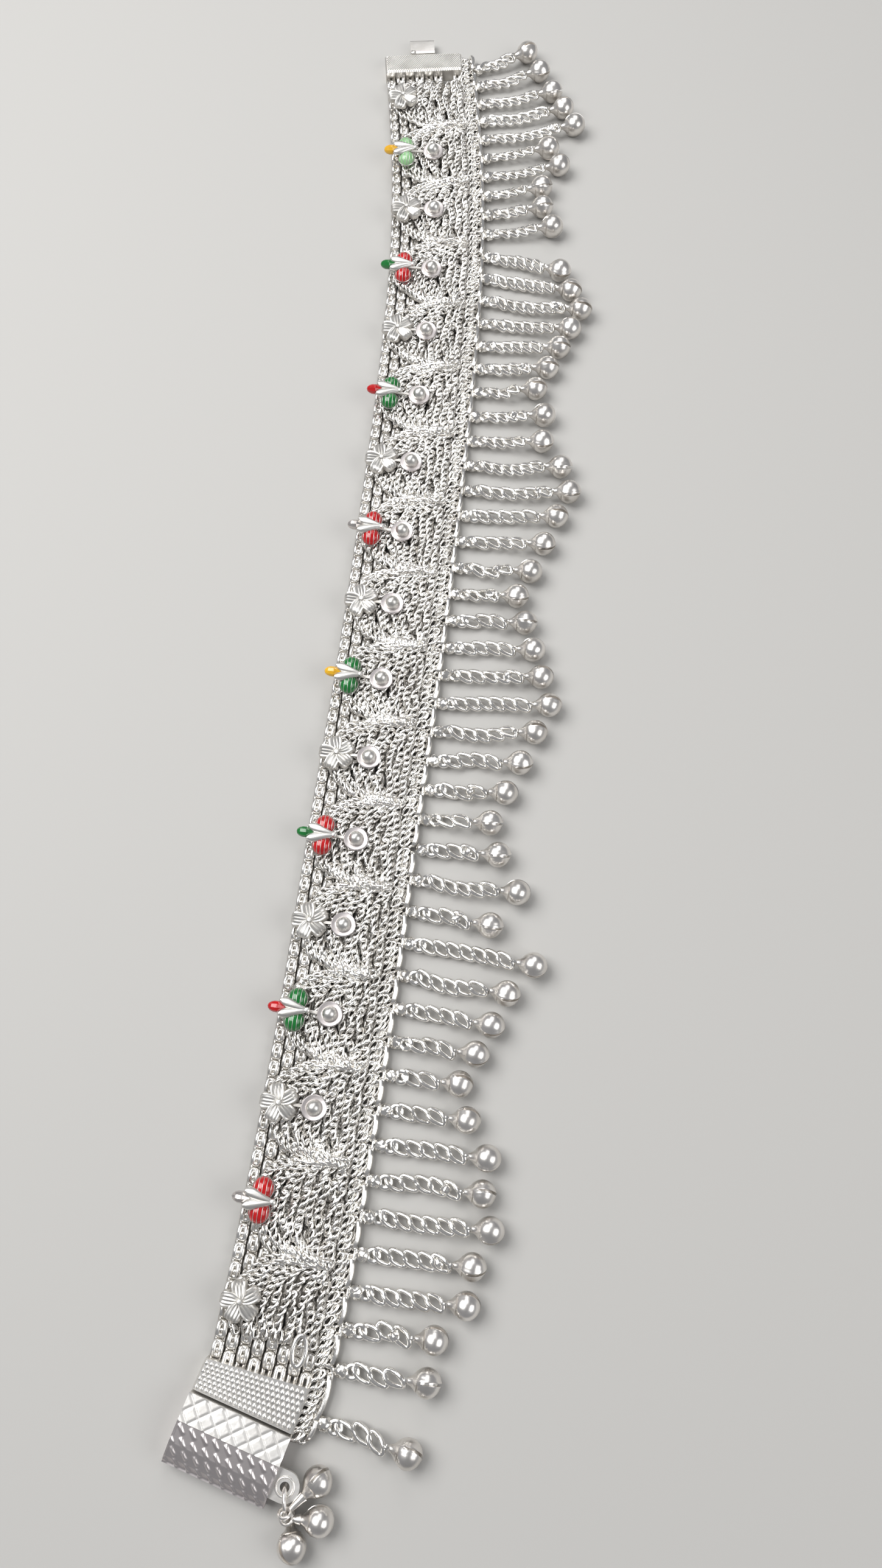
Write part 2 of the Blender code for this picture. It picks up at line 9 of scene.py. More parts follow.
import bmesh
import bpy
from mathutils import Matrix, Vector


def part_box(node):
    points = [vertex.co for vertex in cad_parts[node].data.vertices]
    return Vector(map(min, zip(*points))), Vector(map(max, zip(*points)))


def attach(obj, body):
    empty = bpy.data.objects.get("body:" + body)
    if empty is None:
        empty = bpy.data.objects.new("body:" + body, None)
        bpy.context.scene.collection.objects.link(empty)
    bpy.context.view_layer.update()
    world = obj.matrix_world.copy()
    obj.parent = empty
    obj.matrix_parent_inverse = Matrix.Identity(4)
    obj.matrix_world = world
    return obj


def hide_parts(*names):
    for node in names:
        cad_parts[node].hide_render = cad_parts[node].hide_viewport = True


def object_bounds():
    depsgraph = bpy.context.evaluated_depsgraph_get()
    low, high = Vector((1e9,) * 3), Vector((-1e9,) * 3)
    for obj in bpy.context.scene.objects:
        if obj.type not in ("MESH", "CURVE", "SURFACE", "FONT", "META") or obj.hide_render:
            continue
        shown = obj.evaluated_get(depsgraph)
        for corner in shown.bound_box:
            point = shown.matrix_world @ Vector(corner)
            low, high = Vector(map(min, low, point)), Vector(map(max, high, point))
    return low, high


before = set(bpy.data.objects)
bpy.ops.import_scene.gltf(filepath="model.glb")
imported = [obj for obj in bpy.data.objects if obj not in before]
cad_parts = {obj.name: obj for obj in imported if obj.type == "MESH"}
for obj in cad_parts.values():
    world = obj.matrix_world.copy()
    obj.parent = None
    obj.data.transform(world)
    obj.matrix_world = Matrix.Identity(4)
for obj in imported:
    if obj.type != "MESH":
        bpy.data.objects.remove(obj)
cad_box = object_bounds()

UP = Vector((0, 0, 1))
MM = 0.001

# Route of the band's middle line, from the end bar to the tongue bar
ROUTE = [
    (0.0, 0.0), (0.0011, 0.0028), (0.0027, 0.0110), (0.0051, 0.0250), (0.0093, 0.0537), (0.0130, 0.0837),
    (0.0168, 0.1127), (0.0201, 0.1417), (0.0231, 0.1717), (0.0250, 0.1987), (0.0252, 0.2217),
    (0.0238, 0.2480),
]
ROUTE_STEPS = 24

# Heights that the frame gives
BAND_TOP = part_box("woven_band")[1].z
SWAG_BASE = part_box("swag_01")[0].z
SWAG_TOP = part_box("swag_01")[1].z
MOTIF_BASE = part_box("flower_01")[0].z
BAR_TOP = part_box("end_bar")[1].z
TONGUE_BAR_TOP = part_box("tongue_bar")[1].z

# Band, its clearances and its end bars
GAP = 0.0003
BAND_WIDTH = 0.0156
BAND_MIDDLE = BAND_WIDTH / 2
BAR_OVERHANG = 0.0001
BAR_LEFT = -BAR_OVERHANG
BAR_RIGHT = BAND_WIDTH + BAR_OVERHANG
BAR_LENGTH = 0.0053
BAR_BEVEL = 0.0003
TONGUE_BAR_LENGTH = 0.0044

# Links of each kind of chain, by the inputs of the tree that grows them
WEAVE_LINK = dict(Length=0.0019, Width=0.00108, Square=0.35, Wire=0.00044, Wobble=0.12, Steps=12, Sides=5)
FINE_LINK = dict(Pitch=0.00105, Length=0.00157, Width=0.00096, Slant=0.00026, Twist=0.00045, Square=0.8,
                 Wire=0.00026, Wobble=0.7, Steps=12, Sides=5)
ROOT_LINK = dict(Length=0.0022, Width=0.0018, Square=0.6, Wire=0.00038, Wobble=0.12, Steps=16, Sides=7)
CURB_LINK = dict(Width=0.00184, Slant=0.00058, Twist=0.0006, Square=0.9, Wire=0.00038, Wobble=0.2, Steps=18,
                 Sides=8)
# Share of the room between links that is their pitch, so that the last one isn't lost
PITCH_SHARE = 0.9999
ROOT_PITCH_SHARE = 0.999

# Weave of the band: columns of links, laid as bricks; one column stops a link short of the tongue bar
WEAVE_COLUMNS = 8
WEAVE_PITCH = 0.0027
WEAVE_DIP = 0.00030
UNDER_LIFT = 0.0001
GAP_COLUMN = 6

# Fans of fine chain
FAN_COUNT = 17
FAN_LEAD = 0.0015
FAN_INSET = 0.0012
FAN_STRANDS = 10
FAN_PINCH = 0.84
FAN_PINCH_WIDTH = 0.0034
FAN_RISE = 0.36
FAN_POINTS = 26
FAN_SWAY = 0.0004
FAN_WAVES = (3.0, 6.5)
FAN_ROLL = 0.6
PINCH_LIFT = 0.00045
FAN_SINK = 0.0001

# Fans that stop short of an end bar: share of the stretch where they start and end
FAN_SHORT = {0: (0.24, 1.0), 16: (0.0, 0.76)}

# Large open link on the band beside the end bar: place along the route and across it
OPEN_LINK_PLACE = (0.0066, 0.0129)
OPEN_LINK_RISE = 0.0008
OPEN_LINK_RADII = (0.00095, 0.0021)
OPEN_LINK_WIRE = 0.00040

# Motifs on the left edge
MOTIF_INSET = 0.0031
FLOWER_RADIUS = 0.0030
FLOWER_HEIGHT = 0.0014
FLOWER_PETALS = 5
PETAL_RIBS = 5
PETAL_ROWS = 12
PETAL_HALF = 0.43
PETAL_MIDDLE = 0.60
PETAL_REST = 0.40
PETAL_TILT = 0.16
RIB_DEPTH = 0.00008
DOME_RADIUS = 0.00125
DOME_HEIGHT = 0.0014
DOME_SIDES = 20
DOME_LIFTS = [pi / 2 * i / 7 for i in range(7)]
COLLAR_RADIUS = 0.0020
COLLAR_HEIGHT = 0.0004
DOME_PLACE = 0.0054
STRIP_HALF = 0.00022
BARE_MOTIFS = (0, 1, 16)
LOBE_LENGTH = 0.0017
LOBE_WIDTH = 0.0016
LOBE_HEIGHT = 0.0014
LOBE_SPREAD = 0.0017
LOBE_SIDES = 22
LOBE_RIBS = 5
LOBE_RIB_WIRE = 0.00005
LOBE_RIB_RISE = 0.00002
LOBE_RIM_RISE = 0.00015
LOBE_RIM_WIRE = 0.0001
LEAF_LENGTH = 0.0047
LEAF_RADIUS = 0.0005
LEAF_ROOT = 0.0019
LEAF_ANGLE = radians(14)
TIP_RADIUS = 0.0009
TIP_LENGTH = 0.0017
TIP_PLACE = 0.0027
KNOB_RADIUS = 0.0005
KNOB_HEIGHT = 0.00045

# Flower's hub: share of the flower's height, share of its radius
HUB_LEVELS = [(0.0, 0.16), (0.7, 0.16), (0.84, 0.11)]
# Leaf of a bud: share of its length, share of its radius
LEAF_SECTIONS = [(0.0, 0.6), (0.12, 0.8), (0.3, 1.05), (0.5, 1.4), (0.68, 1.65), (0.84, 1.45), (0.95, 0.8)]
LEAF_FLATTEST = 1.1
# Tip of a bud: share of its length out from its middle, share of its radius
TIP_SECTIONS = [(0.0, 1.0), (0.4, 0.98), (0.7, 0.78), (0.9, 0.45)]

# Enamel of each bud, counted from the end bar: tip and lobes
BUD_ENAMEL = [
    ("enamel_clear", "enamel_red"), ("enamel_red", "enamel_green"), ("enamel_green", "enamel_red"),
    ("enamel_yellow", "enamel_green"), ("enamel_clear", "enamel_red"), ("enamel_red", "enamel_green"),
    ("enamel_green", "enamel_red"), ("enamel_yellow", "enamel_pale"),
]

# Edge chain
EDGE_WIDTH = 0.0027
EDGE_HEIGHT = 0.0022
EDGE_LEAD = 0.0028
EDGE_TAIL = 0.0008
LONG_LINK_GAP = 0.00065
LONG_LINK_RISE = 0.00066
LONG_LINK_BOW = 0.0004
LONG_LINK_SQUARE = 0.7
LONG_LINK_SIDES = 24
HOLE_ROOM = 0.00095
# Strands that tie the edge chain to the band: place out from the band, height, roll
TIES = [(0.0004, 0.00165, 0.3), (0.0010, 0.00135, -0.4), (0.0016, 0.00100, 0.2)]
TIE_WOBBLE = 0.5
EDGE_PLACE = BAR_RIGHT + GAP + EDGE_WIDTH / 2
EDGE_OUTER = EDGE_PLACE + 0.0006

# Drops and bells
BELL_RADIUS = 0.0022
BELL_ROOM = 0.00065
BELL_NECK = 0.00075
LINK_PITCH = 0.0019
CURB_PITCH = 0.00225
LINK_OVERLAP = 0.00066
JUMP_RADIUS = 0.00085
JUMP_PLACE = 0.0036
JUMP_HEIGHT = 0.00133
ROOT_LUMP_PLACE = 0.0020
ROOT_LUMP_HEIGHT = 0.00122
ROOT_LUMP_RADIUS = 0.00112
LUMP_RADIUS = 0.00085
LUMPY_SHARE = 0.35
LAST_LINK_DROP = 0.0002
# How much smaller the links of the drops get towards the tongue bar
FAR_SHRINK = 0.22
BELL_REACH = 1.7
BELL_LOOP = 0.0006
BELL_LOOP_WIRE = 0.00024
LOOP_BACK = 1.5
DROP_PITCH = 2 * BELL_RADIUS + BELL_ROOM
LONGEST_LINKS = 8
SHORTEST_LINKS = 4
DROPS_TO_SCALLOP = 8
LONG_DROP = 5
DROPS_TO_SECTION = 3

# Spread of the drops along the edge chain: share of the drops, share of the chain
DROP_SPREAD = [(0.0, 0.0), (0.79, 0.811), (1.0, 1.0)]

# Lean of the drops towards the tongue bar, in degrees: drop counted from the end bar, lean
DROP_LEAN = [
    (0, 5), (3, 4), (6, 2), (9, 1), (11, -3), (14, -4), (16, 2), (20, 6), (24, 3), (26, 1), (28, 4), (31, 3),
    (33, 6), (35, 1), (36, -2), (37, -4.5), (38, -9), (39, -14), (40, 7), (43, 7), (46, 6), (47, 6), (48, 11),
    (49, 16),
]

# Drops that have more or fewer links than the scallop gives: drop counted from the end bar, links
ODD_DROPS = {1: 1, 3: 1, 7: 1, 13: 1, 14: -2, 15: 1, 31: -1, 42: -1, 44: -2}

# Bell: latitudes from its slot, in degrees, and how far the surface stands out or in there
BELL_BANDS = [
    (-78, 0), (-62, 0), (-48, 0), (-34, 0), (-22, 0), (-14, 0), (-10, 0.03), (-6, 0.03), (-5, -0.25),
    (4, -0.25), (5, -0.01), (9, -0.01), (14, -0.04), (22, -0.04), (34, -0.04), (48, -0.03), (62, -0.02),
    (78, 0),
]
BELL_TURNS = 28
BALL_RADIUS = BELL_RADIUS * 0.965
SLOT_END = -0.35
# Shoulder of the bell: place out from its middle and radius there, as shares of its radius
BELL_SHOULDER = [(-0.7, 0.68), (-0.9, 0.45), (-1.08, 0.3), (-1.3, 0.22)]

# Dots of the end bar
DOT_COLUMNS = 20
DOT_ROWS = 7
DOT_STEP = 0.00076
DOT_ROW_STEP = 0.00068
DOT_RADIUS = 0.00041
DOT_HEIGHT = 0.00015

# Slanting ribs and square teeth of the tongue bar
RIB_STEP = 0.00046
RIB_SLOPE = 0.9
RIB_RADIUS = 0.00016
RIB_SINK = 0.0001
TOOTH_RADIUS = 0.00012
TOOTH_LENGTH = 0.0007

# Tongue, and the curl, lip and fold across its root
TONGUE_WIDTH = 0.0050
TONGUE_REACH = 0.0050
TONGUE_ROOT = 0.0020
LEAF_SHEET = 0.0004
LEAF_SPRING = 0.0011
BEND_ANGLES = [pi * i / 6 for i in range(1, 6)]
CURL_PLACE = 0.0013
CURL_RADIUS = 0.0004
CURL_FLATNESS = 1.4
# Curl: place across the tongue, share of its radius
CURL_SECTIONS = [(0.00005, 0.7), (0.0002, 1.0), (0.0009, 1.0), (0.00105, 0.7)]

# Clasp box
BOX_START = -BAR_LENGTH / 2 - GAP
BOX_LENGTH = 0.0098
BOX_WALL = 0.0006
BOX_BACK = 0.0040
BOX_RIDGE = 0.0044
BOX_FRONT = 0.0026
BOX_RIDGE_PLACE = 0.40
BOX_RIDGE_REACH = hypot(BOX_LENGTH * BOX_RIDGE_PLACE, BOX_RIDGE - BOX_BACK)
TAB_REACH = 0.0034
TAB_WIDTH = 0.0034
TAB_THICK = 0.0007
TAB_PLACE = 0.62
TAB_FLARE = 0.0004
TAB_TOP = BOX_FRONT + BOX_WALL
TAB_SINK = 0.0001
EYE_RADIUS = 0.0007
EYE_ALONG = BOX_START - BOX_LENGTH * TAB_PLACE
EYE_ACROSS = BAR_RIGHT + TAB_REACH - TAB_WIDTH / 2
EYE_RIM_RADIUS = EYE_RADIUS + 0.00055
EYE_RIM_WIRE = 0.0002
RUNNING = 0.0004
LATTICE_STEP = 0.00014
LATTICE_CELL = 0.0026
LATTICE_DEPTH = 0.00010
LATTICE_STEEPNESS = 2.2
DASH_DEPTH = 0.00022
DASH_ROW = 0.0016
DASH_STEP = 0.0018
DASH_LENGTH = 0.0016
DASH_WIDTH = 0.00056

# Clasp ring and its bells: place round the ring and heading in degrees, and length of the shank
RING_RADIUS = 0.0020
RING_TURN = radians(27)
RING_WIRE = 0.0003
LOOP_WIRE = 0.00025
CLASP_BELLS = [(58, 61, 0.0036), (10, 15, 0.0024), (-34, -56, 0.0022)]

# Camera, as the photograph was taken, floor and light
IMAGE_HEIGHT = 2576
FOCAL_PIXELS = 1946
SENSOR = 36.0
CAMERA_PLACE = (0.0274, 0.03175, 0.191)
CAMERA_TILT = radians(90 - 72.4)
FLOOR_REACH = 3.0
LIGHTS_FACE = Vector((0.02, 0.12, 0))


# Route

def smooth_track(points, steps):
    """Points of a smooth curve through the route's own points."""
    posts = [points[0] * 2 - points[1]] + points + [points[-1] * 2 - points[-2]]
    track = []
    for before, start, end, after in zip(posts, posts[1:], posts[2:], posts[3:]):
        for step in range(steps):
            t = step / steps
            track.append(0.5 * (2 * start + (end - before) * t
                                + (2 * before - 5 * start + 4 * end - after) * t * t
                                + (3 * start - before - 3 * end + after) * t ** 3))
    return track + [points[-1]]


TRACK = smooth_track([Vector(point) for point in ROUTE], ROUTE_STEPS)
REACH = [0.0]
for near, far in zip(TRACK, TRACK[1:]):
    REACH.append(REACH[-1] + (far - near).length)
ROUTE_LENGTH = REACH[-1]
BAND_START = BAR_LENGTH / 2 + GAP
BAND_END = ROUTE_LENGTH - TONGUE_BAR_LENGTH / 2 - GAP
EDGE_RUN = EDGE_LEAD + ROUTE_LENGTH + EDGE_TAIL
DROPS = int(EDGE_RUN / DROP_PITCH)


def route_at(along):
    """Point and direction of the route at a distance along it; its ends run on straight."""
    index = min(max(bisect.bisect_left(REACH, along) - 1, 0), len(TRACK) - 2)
    direction = (TRACK[index + 1] - TRACK[index]).normalized()
    return TRACK[index] + direction * (along - REACH[index]), direction


def axes_at(along):
    """Directions along the route and across it, away from the motif edge."""
    direction = route_at(along)[1]
    return Vector((direction.x, direction.y, 0)), Vector((direction.y, -direction.x, 0))


def place(along, across, height):
    """World point: distance along the route, distance from the motif edge, height."""
    point, direction = route_at(along)
    side = Vector((direction.y, -direction.x))
    flat = point + side * (across - BAND_MIDDLE)
    return Vector((flat.x, flat.y, height))


def section_span(index):
    """Start and end of one motif's stretch of the band."""
    pitch = (BAND_END - BAND_START - FAN_LEAD) / FAN_COUNT
    start = BAND_START + FAN_LEAD + pitch * index
    return start, start + pitch


def between(table, value):
    """Value of a table of two columns, read between its rows."""
    for (low, start), (high, end) in zip(table, table[1:]):
        if value <= high:
            return start + (end - start) * (value - low) / (high - low)
    return table[-1][1]


def drop_place(number):
    """Distance along the route of a drop, or of an end of the chain between drops."""
    return EDGE_RUN * between(DROP_SPREAD, number / DROPS) - EDGE_LEAD


# Nodes

def set_inputs(tree, node, inputs):
    """Inputs of a node, each from a value, a socket, or a node's first output."""
    for name, value in inputs.items():
        if isinstance(value, bpy.types.Node):
            value = value.outputs[0]
        if isinstance(value, bpy.types.NodeSocket):
            tree.links.new(value, node.inputs[name])
        else:
            node.inputs[name].default_value = value


def add(tree, kind, inputs=None, **settings):
    """A node with its settings and inputs."""
    node = tree.nodes.new(kind)
    for name, value in settings.items():
        setattr(node, name, value)
    set_inputs(tree, node, inputs or {})
    return node


def maths(tree, operation, *values):
    return add(tree, "ShaderNodeMath", dict(enumerate(values)), operation=operation)


def signed_power(tree, value, power):
    """The value's size raised to a power, with its sign kept."""
    size = maths(tree, "POWER", maths(tree, "ABSOLUTE", value), power)
    return maths(tree, "MULTIPLY", maths(tree, "SIGN", value), size)


def ranged(tree, value, low, high, from_low=0.0, from_high=1.0):
    """A value taken from one range to another."""
    return add(tree, "ShaderNodeMapRange", {
        "Value": value, "From Min": from_low, "From Max": from_high, "To Min": low, "To Max": high})


def new_tree(kind, name, inputs, outputs):
    """A node tree, with names for each kind of input and output, and the sockets of its Group Input."""
    tree = bpy.data.node_groups.new(name, kind + "NodeTree")
    for way, sockets in (("INPUT", inputs), ("OUTPUT", outputs)):
        for socket, labels in sockets.items():
            for label in labels.split(", "):
                tree.interface.new_socket(label, in_out=way, socket_type="NodeSocket" + socket)
    return tree, tree.nodes.new("NodeGroupInput").outputs


def shape_tree(name, **inputs):
    """A tree that makes a shape from a mesh and named values, and puts it in a finish."""
    return new_tree("Geometry", name, inputs | {"Material": "Finish"}, {"Geometry": "Shape"})


def level_curves(tree, paths):
    """Curves along paths, with their upper side level."""
    curves = add(tree, "GeometryNodeMeshToCurve", {0: paths})
    return add(tree, "GeometryNodeSetCurveNormal", {0: curves}, mode="Z_UP")


def finish_shape(tree, shape, finish):
    """The last nodes of a shape's tree: all of it real, and in its finish."""
    real = add(tree, "GeometryNodeRealizeInstances", {0: shape})
    done = add(tree, "GeometryNodeSetMaterial", {"Geometry": real, "Material": finish})
    add(tree, "NodeGroupOutput", {"Shape": done})
    return tree


def chain_tree():
    """Links set along paths: ovals of wire, slanted and twisted as a curb link's or dipped at their ends."""
    tree, given = shape_tree(
        "chain_of_links", Geometry="Paths", Int="Steps, Sides, Seed",
        Float="Pitch, Length, Width, Slant, Twist, Dip, Square, Wire, Wobble")
    node, times, plus = partial(add, tree), partial(maths, tree, "MULTIPLY"), partial(maths, tree, "ADD")
    circle = node("GeometryNodeCurvePrimitiveCircle", {"Resolution": given["Steps"], "Radius": 1.0})
    spot = node("ShaderNodeSeparateXYZ", {0: node("GeometryNodeInputPosition")})
    ahead, aside = spot.outputs[0], spot.outputs[1]
    along = times(signed_power(tree, ahead, given["Square"]), times(given["Length"], 0.5))
    wide = times(signed_power(tree, aside, given["Square"]), times(given["Width"], 0.5))
    across = plus(wide, times(ahead, given["Slant"]))
    twist = times(times(ahead, aside), given["Twist"])
    dip = times(maths(tree, "POWER", maths(tree, "ABSOLUTE", ahead), 4.0), given["Dip"])
    bent = node("ShaderNodeCombineXYZ", {0: across, 1: plus(twist, dip), 2: along})
    line = node("GeometryNodeSetPosition", {"Geometry": circle, "Position": bent})
    profile = node("GeometryNodeCurvePrimitiveCircle", {
        "Resolution": given["Sides"], "Radius": given["Wire"]})
    link = node("GeometryNodeCurveToMesh", {"Curve": line, "Profile Curve": profile})
    spots = node("GeometryNodeCurveToPoints", {
        "Curve": level_curves(tree, given["Paths"]), "Length": given["Pitch"]}, mode="LENGTH")
    roll = node("GeometryNodeInputNamedAttribute", {"Name": "roll"}, data_type="FLOAT")
    shake = node("FunctionNodeRandomValue", {
        "ID": node("GeometryNodeInputIndex"), "Seed": given["Seed"], 2: times(given["Wobble"], -1.0),
        3: given["Wobble"]}, data_type="FLOAT")
    angle = plus(roll, shake.outputs[1])
    turn = node("FunctionNodeAxisAngleToRotation", {"Axis": (0, 0, 1), "Angle": angle})
    facing = node("FunctionNodeRotateRotation", {
        0: spots.outputs["Rotation"], 1: turn}, rotation_space="LOCAL")
    links = node("GeometryNodeInstanceOnPoints", {"Points": spots, "Instance": link, "Rotation": facing})
    return finish_shape(tree, links, given["Finish"])


def wire_tree():
    """Round ribs along paths."""
    tree, given = shape_tree("ribs_along_paths", Geometry="Paths", Float="Radius", Int="Sides")
    profile = add(tree, "GeometryNodeCurvePrimitiveCircle", {
        "Resolution": given["Sides"], "Radius": given["Radius"]})
    ribs = add(tree, "GeometryNodeCurveToMesh", {
        "Curve": level_curves(tree, given["Paths"]), "Profile Curve": profile, "Fill Caps": True})
    return finish_shape(tree, ribs, given["Finish"])


def dots_tree():
    """Raised teardrops in rows, each row shifted by half a step from the last."""
    tree, given = shape_tree(
        "rows_of_dots", Geometry="Ground", Int="Columns, Rows", Float="Step, Deep Step, Radius, Height")
    node, times, less = partial(add, tree), partial(maths, tree, "MULTIPLY"), partial(maths, tree, "SUBTRACT")
    wide = times(less(given["Columns"], 1), given["Step"])
    deep = times(less(given["Rows"], 1), given["Deep Step"])
    grid = node("GeometryNodeMeshGrid", {
        "Size X": wide, "Size Y": deep, "Vertices X": given["Columns"], "Vertices Y": given["Rows"]})
    row = maths(tree, "MODULO", node("GeometryNodeInputIndex"), given["Rows"])
    shift = times(less(maths(tree, "MODULO", row, 2.0), 0.5), times(given["Step"], 0.5))
    offset = node("ShaderNodeCombineXYZ", {0: shift})
    spots = node("GeometryNodeSetPosition", {"Geometry": grid, "Offset": offset})
    ball = node("GeometryNodeMeshUVSphere", {"Segments": 10, "Rings": 6, "Radius": 1.0})
    at = node("ShaderNodeSeparateXYZ", {0: node("GeometryNodeInputPosition")}).outputs
    taper = less(1.0, times(maths(tree, "ADD", at[1], 1.0), 0.3))
    shape = node("ShaderNodeCombineXYZ", {
        0: times(times(at[0], taper), given["Radius"]), 1: times(at[1], given["Radius"]),
        2: times(at[2], given["Height"])})
    dot = node("GeometryNodeSetPosition", {"Geometry": ball, "Position": shape})
    dots = node("GeometryNodeInstanceOnPoints", {"Points": spots, "Instance": dot})
    return finish_shape(tree, dots, given["Finish"])


def show(name, data):
    """An object in the scene."""
    result = bpy.data.objects.new(name, data)
    bpy.context.scene.collection.objects.link(result)
    return result


def plain_copy(holder):
    """Plain mesh of an object with what its modifiers make of it."""
    graph = bpy.context.evaluated_depsgraph_get()
    return bpy.data.meshes.new_from_object(holder.evaluated_get(graph), depsgraph=graph)


def grown(mesh, tree, finish, **values):
    """Plain mesh that a tree grows on another mesh, with the given values for its inputs."""
    holder = show("holder", mesh)
    step = holder.modifiers.new("grow", "NODES")
    step.node_group = tree
    values["Finish"] = FINISHES[finish]
    for item in tree.interface.items_tree:
        if item.in_out == "INPUT" and item.name in values:
            step[item.identifier] = values[item.name]
    result = plain_copy(holder)
    bpy.data.objects.remove(holder)
    result.shade_smooth()
    return result


def carrier(paths, rolls=None):
    """Mesh of edges along paths, with the roll of the links on each path."""
    points, edges, turns = [], [], []
    for number, path in enumerate(paths):
        first = len(points)
        points += path
        edges += [(first + i, first + i + 1) for i in range(len(path) - 1)]
        turns += [rolls[number] if rolls else 0.0] * len(path)
    mesh = bpy.data.meshes.new("paths")
    mesh.from_pydata([tuple(point) for point in points], edges, [])
    mesh.attributes.new("roll", "FLOAT", "POINT").data.foreach_set("value", turns)
    return mesh


def chain(paths, finish, seed, link, rolls=None, **changes):
    """Links of one kind along paths, with what is changed of that kind."""
    return grown(carrier(paths, rolls), CHAIN, finish, Seed=seed, **(link | changes))


def ribs_along(paths, radius, sides, finish):
    return grown(carrier(paths), WIRES, finish, Radius=radius, Sides=sides)


# Mesh shapes

def loft(rings, closed=False):
    """Closed body through rings of points; a ring of one point is a tip."""
    body = bmesh.new()
    loops = [[body.verts.new(point) for point in ring] for ring in rings]
    pairs = list(zip(loops, loops[1:]))
    if closed:
        pairs.append((loops[-1], loops[0]))
    for lower, upper in pairs:
        count = max(len(lower), len(upper))
        for i in range(count):
            j = (i + 1) % count
            if len(lower) == 1:
                body.faces.new((lower[0], upper[i], upper[j]))
            elif len(upper) == 1:
                body.faces.new((lower[i], lower[j], upper[0]))
            else:
                body.faces.new((lower[i], lower[j], upper[j], upper[i]))
    if not closed:
        for loop in (loops[0], loops[-1]):
            if len(loop) > 2:
                body.faces.new(loop)
    bmesh.ops.recalc_face_normals(body, faces=body.faces)
    return body


def ring_points(centre, first, second, radius, sides):
    """Points of a circle or ellipse; first and second are the directions of its axes."""
    wide, high = radius if isinstance(radius, tuple) else (radius, radius)
    angles = [tau * i / sides for i in range(sides)]
    return [centre + first * (wide * cos(a)) + second * (high * sin(a)) for a in angles]


def rings_on(foot, line, first, second, levels, sides):
    """Rings of points up a line: distance from its foot and radius of each."""
    return [ring_points(foot + line * away, first, second, radius, sides) for away, radius in levels]


def torus(centre, first, second, radius, wire, sides=28, wire_sides=10):
    """Closed ring of round wire, a circle or an ellipse in the plane of first and second."""
    normal = first.cross(second)
    rings = []
    for i, spot in enumerate(ring_points(centre, first, second, radius, sides)):
        angle = tau * i / sides
        out = first * cos(angle) + second * sin(angle)
        rings.append(ring_points(spot, out, normal, wire, wire_sides))
    return loft(rings, closed=True)


def plain(body, finish, flat_angle=40):
    """Plain mesh of a body in one finish."""
    mesh = bpy.data.meshes.new("plain")
    body.to_mesh(mesh)
    body.free()
    mesh.materials.append(FINISHES[finish])
    mesh.shade_smooth()
    mesh.set_sharp_from_angle(angle=radians(flat_angle))
    return mesh


def merged(meshes):
    """One mesh from several, with the finish of each face."""
    finishes = []
    body = bmesh.new()
    for mesh in meshes:
        start = len(body.faces)
        body.from_mesh(mesh)
        body.faces.ensure_lookup_table()
        for face in body.faces[start:]:
            finish = mesh.materials[face.material_index]
            if finish not in finishes:
                finishes.append(finish)
            face.material_index = finishes.index(finish)
    result = bpy.data.meshes.new("merged")
    body.to_mesh(result)
    body.free()
    for finish in finishes:
        result.materials.append(finish)
    return result


def piece(name, meshes, node):
    """Finished piece that stands for a CAD node and rides with the anklet."""
    result = show(name, merged(meshes))
    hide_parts(node)
    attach(result, "root")


# Finishes

def patina_and_shade_group():
    """Silver that darkens lower down, as painted shade in its hollows together with the tarnish there, and in
    patches of patina: colour, roughness and a fine uneven surface.
    """
    tree, given = new_tree("Shader", "silver_patina_and_shade", {
        "Color": "Bright, Dark", "Float": "Low, High, Depth, Patch, Smooth, Rough, Grain"}, {
        "Color": "Colour", "Float": "Roughness, Height"})
    spot = add(tree, "ShaderNodeTexCoord").outputs["Object"]
    height = add(tree, "ShaderNodeSeparateXYZ", {0: spot}).outputs[2]
    # Painted shade: the lower a point lies between Low and High, the darker it is painted
    depth = ranged(tree, height, 1.0, 0.0, given["Low"], given["High"])
    patches = add(tree, "ShaderNodeTexNoise", {"Vector": spot, "Scale": given["Patch"], "Detail": 3.0})
    patch = ranged(tree, patches, 0.0, 0.45, 0.42, 0.68)
    deep = maths(tree, "MULTIPLY", depth, given["Depth"])
    patina_and_shade_mask = add(tree, "ShaderNodeClamp", {0: maths(tree, "ADD", deep, maths(tree, "MULTIPLY", patch, 0.6))})
    colour = add(tree, "ShaderNodeMix", {0: patina_and_shade_mask, 6: given["Bright"], 7: given["Dark"]}, data_type="RGBA")
    rough = ranged(tree, patina_and_shade_mask, given["Smooth"], given["Rough"])
    grain = add(tree, "ShaderNodeTexNoise", {"Vector": spot, "Scale": given["Grain"], "Detail": 2.0})
    add(tree, "NodeGroupOutput", {"Colour": colour.outputs[2], "Roughness": rough, "Height": grain})
    return tree


def new_finish(name):
    """A finish, its tree and its shader."""
    finish = bpy.data.materials.new(name)
    finish.use_nodes = True
    return finish, finish.node_tree, finish.node_tree.nodes["Principled BSDF"]


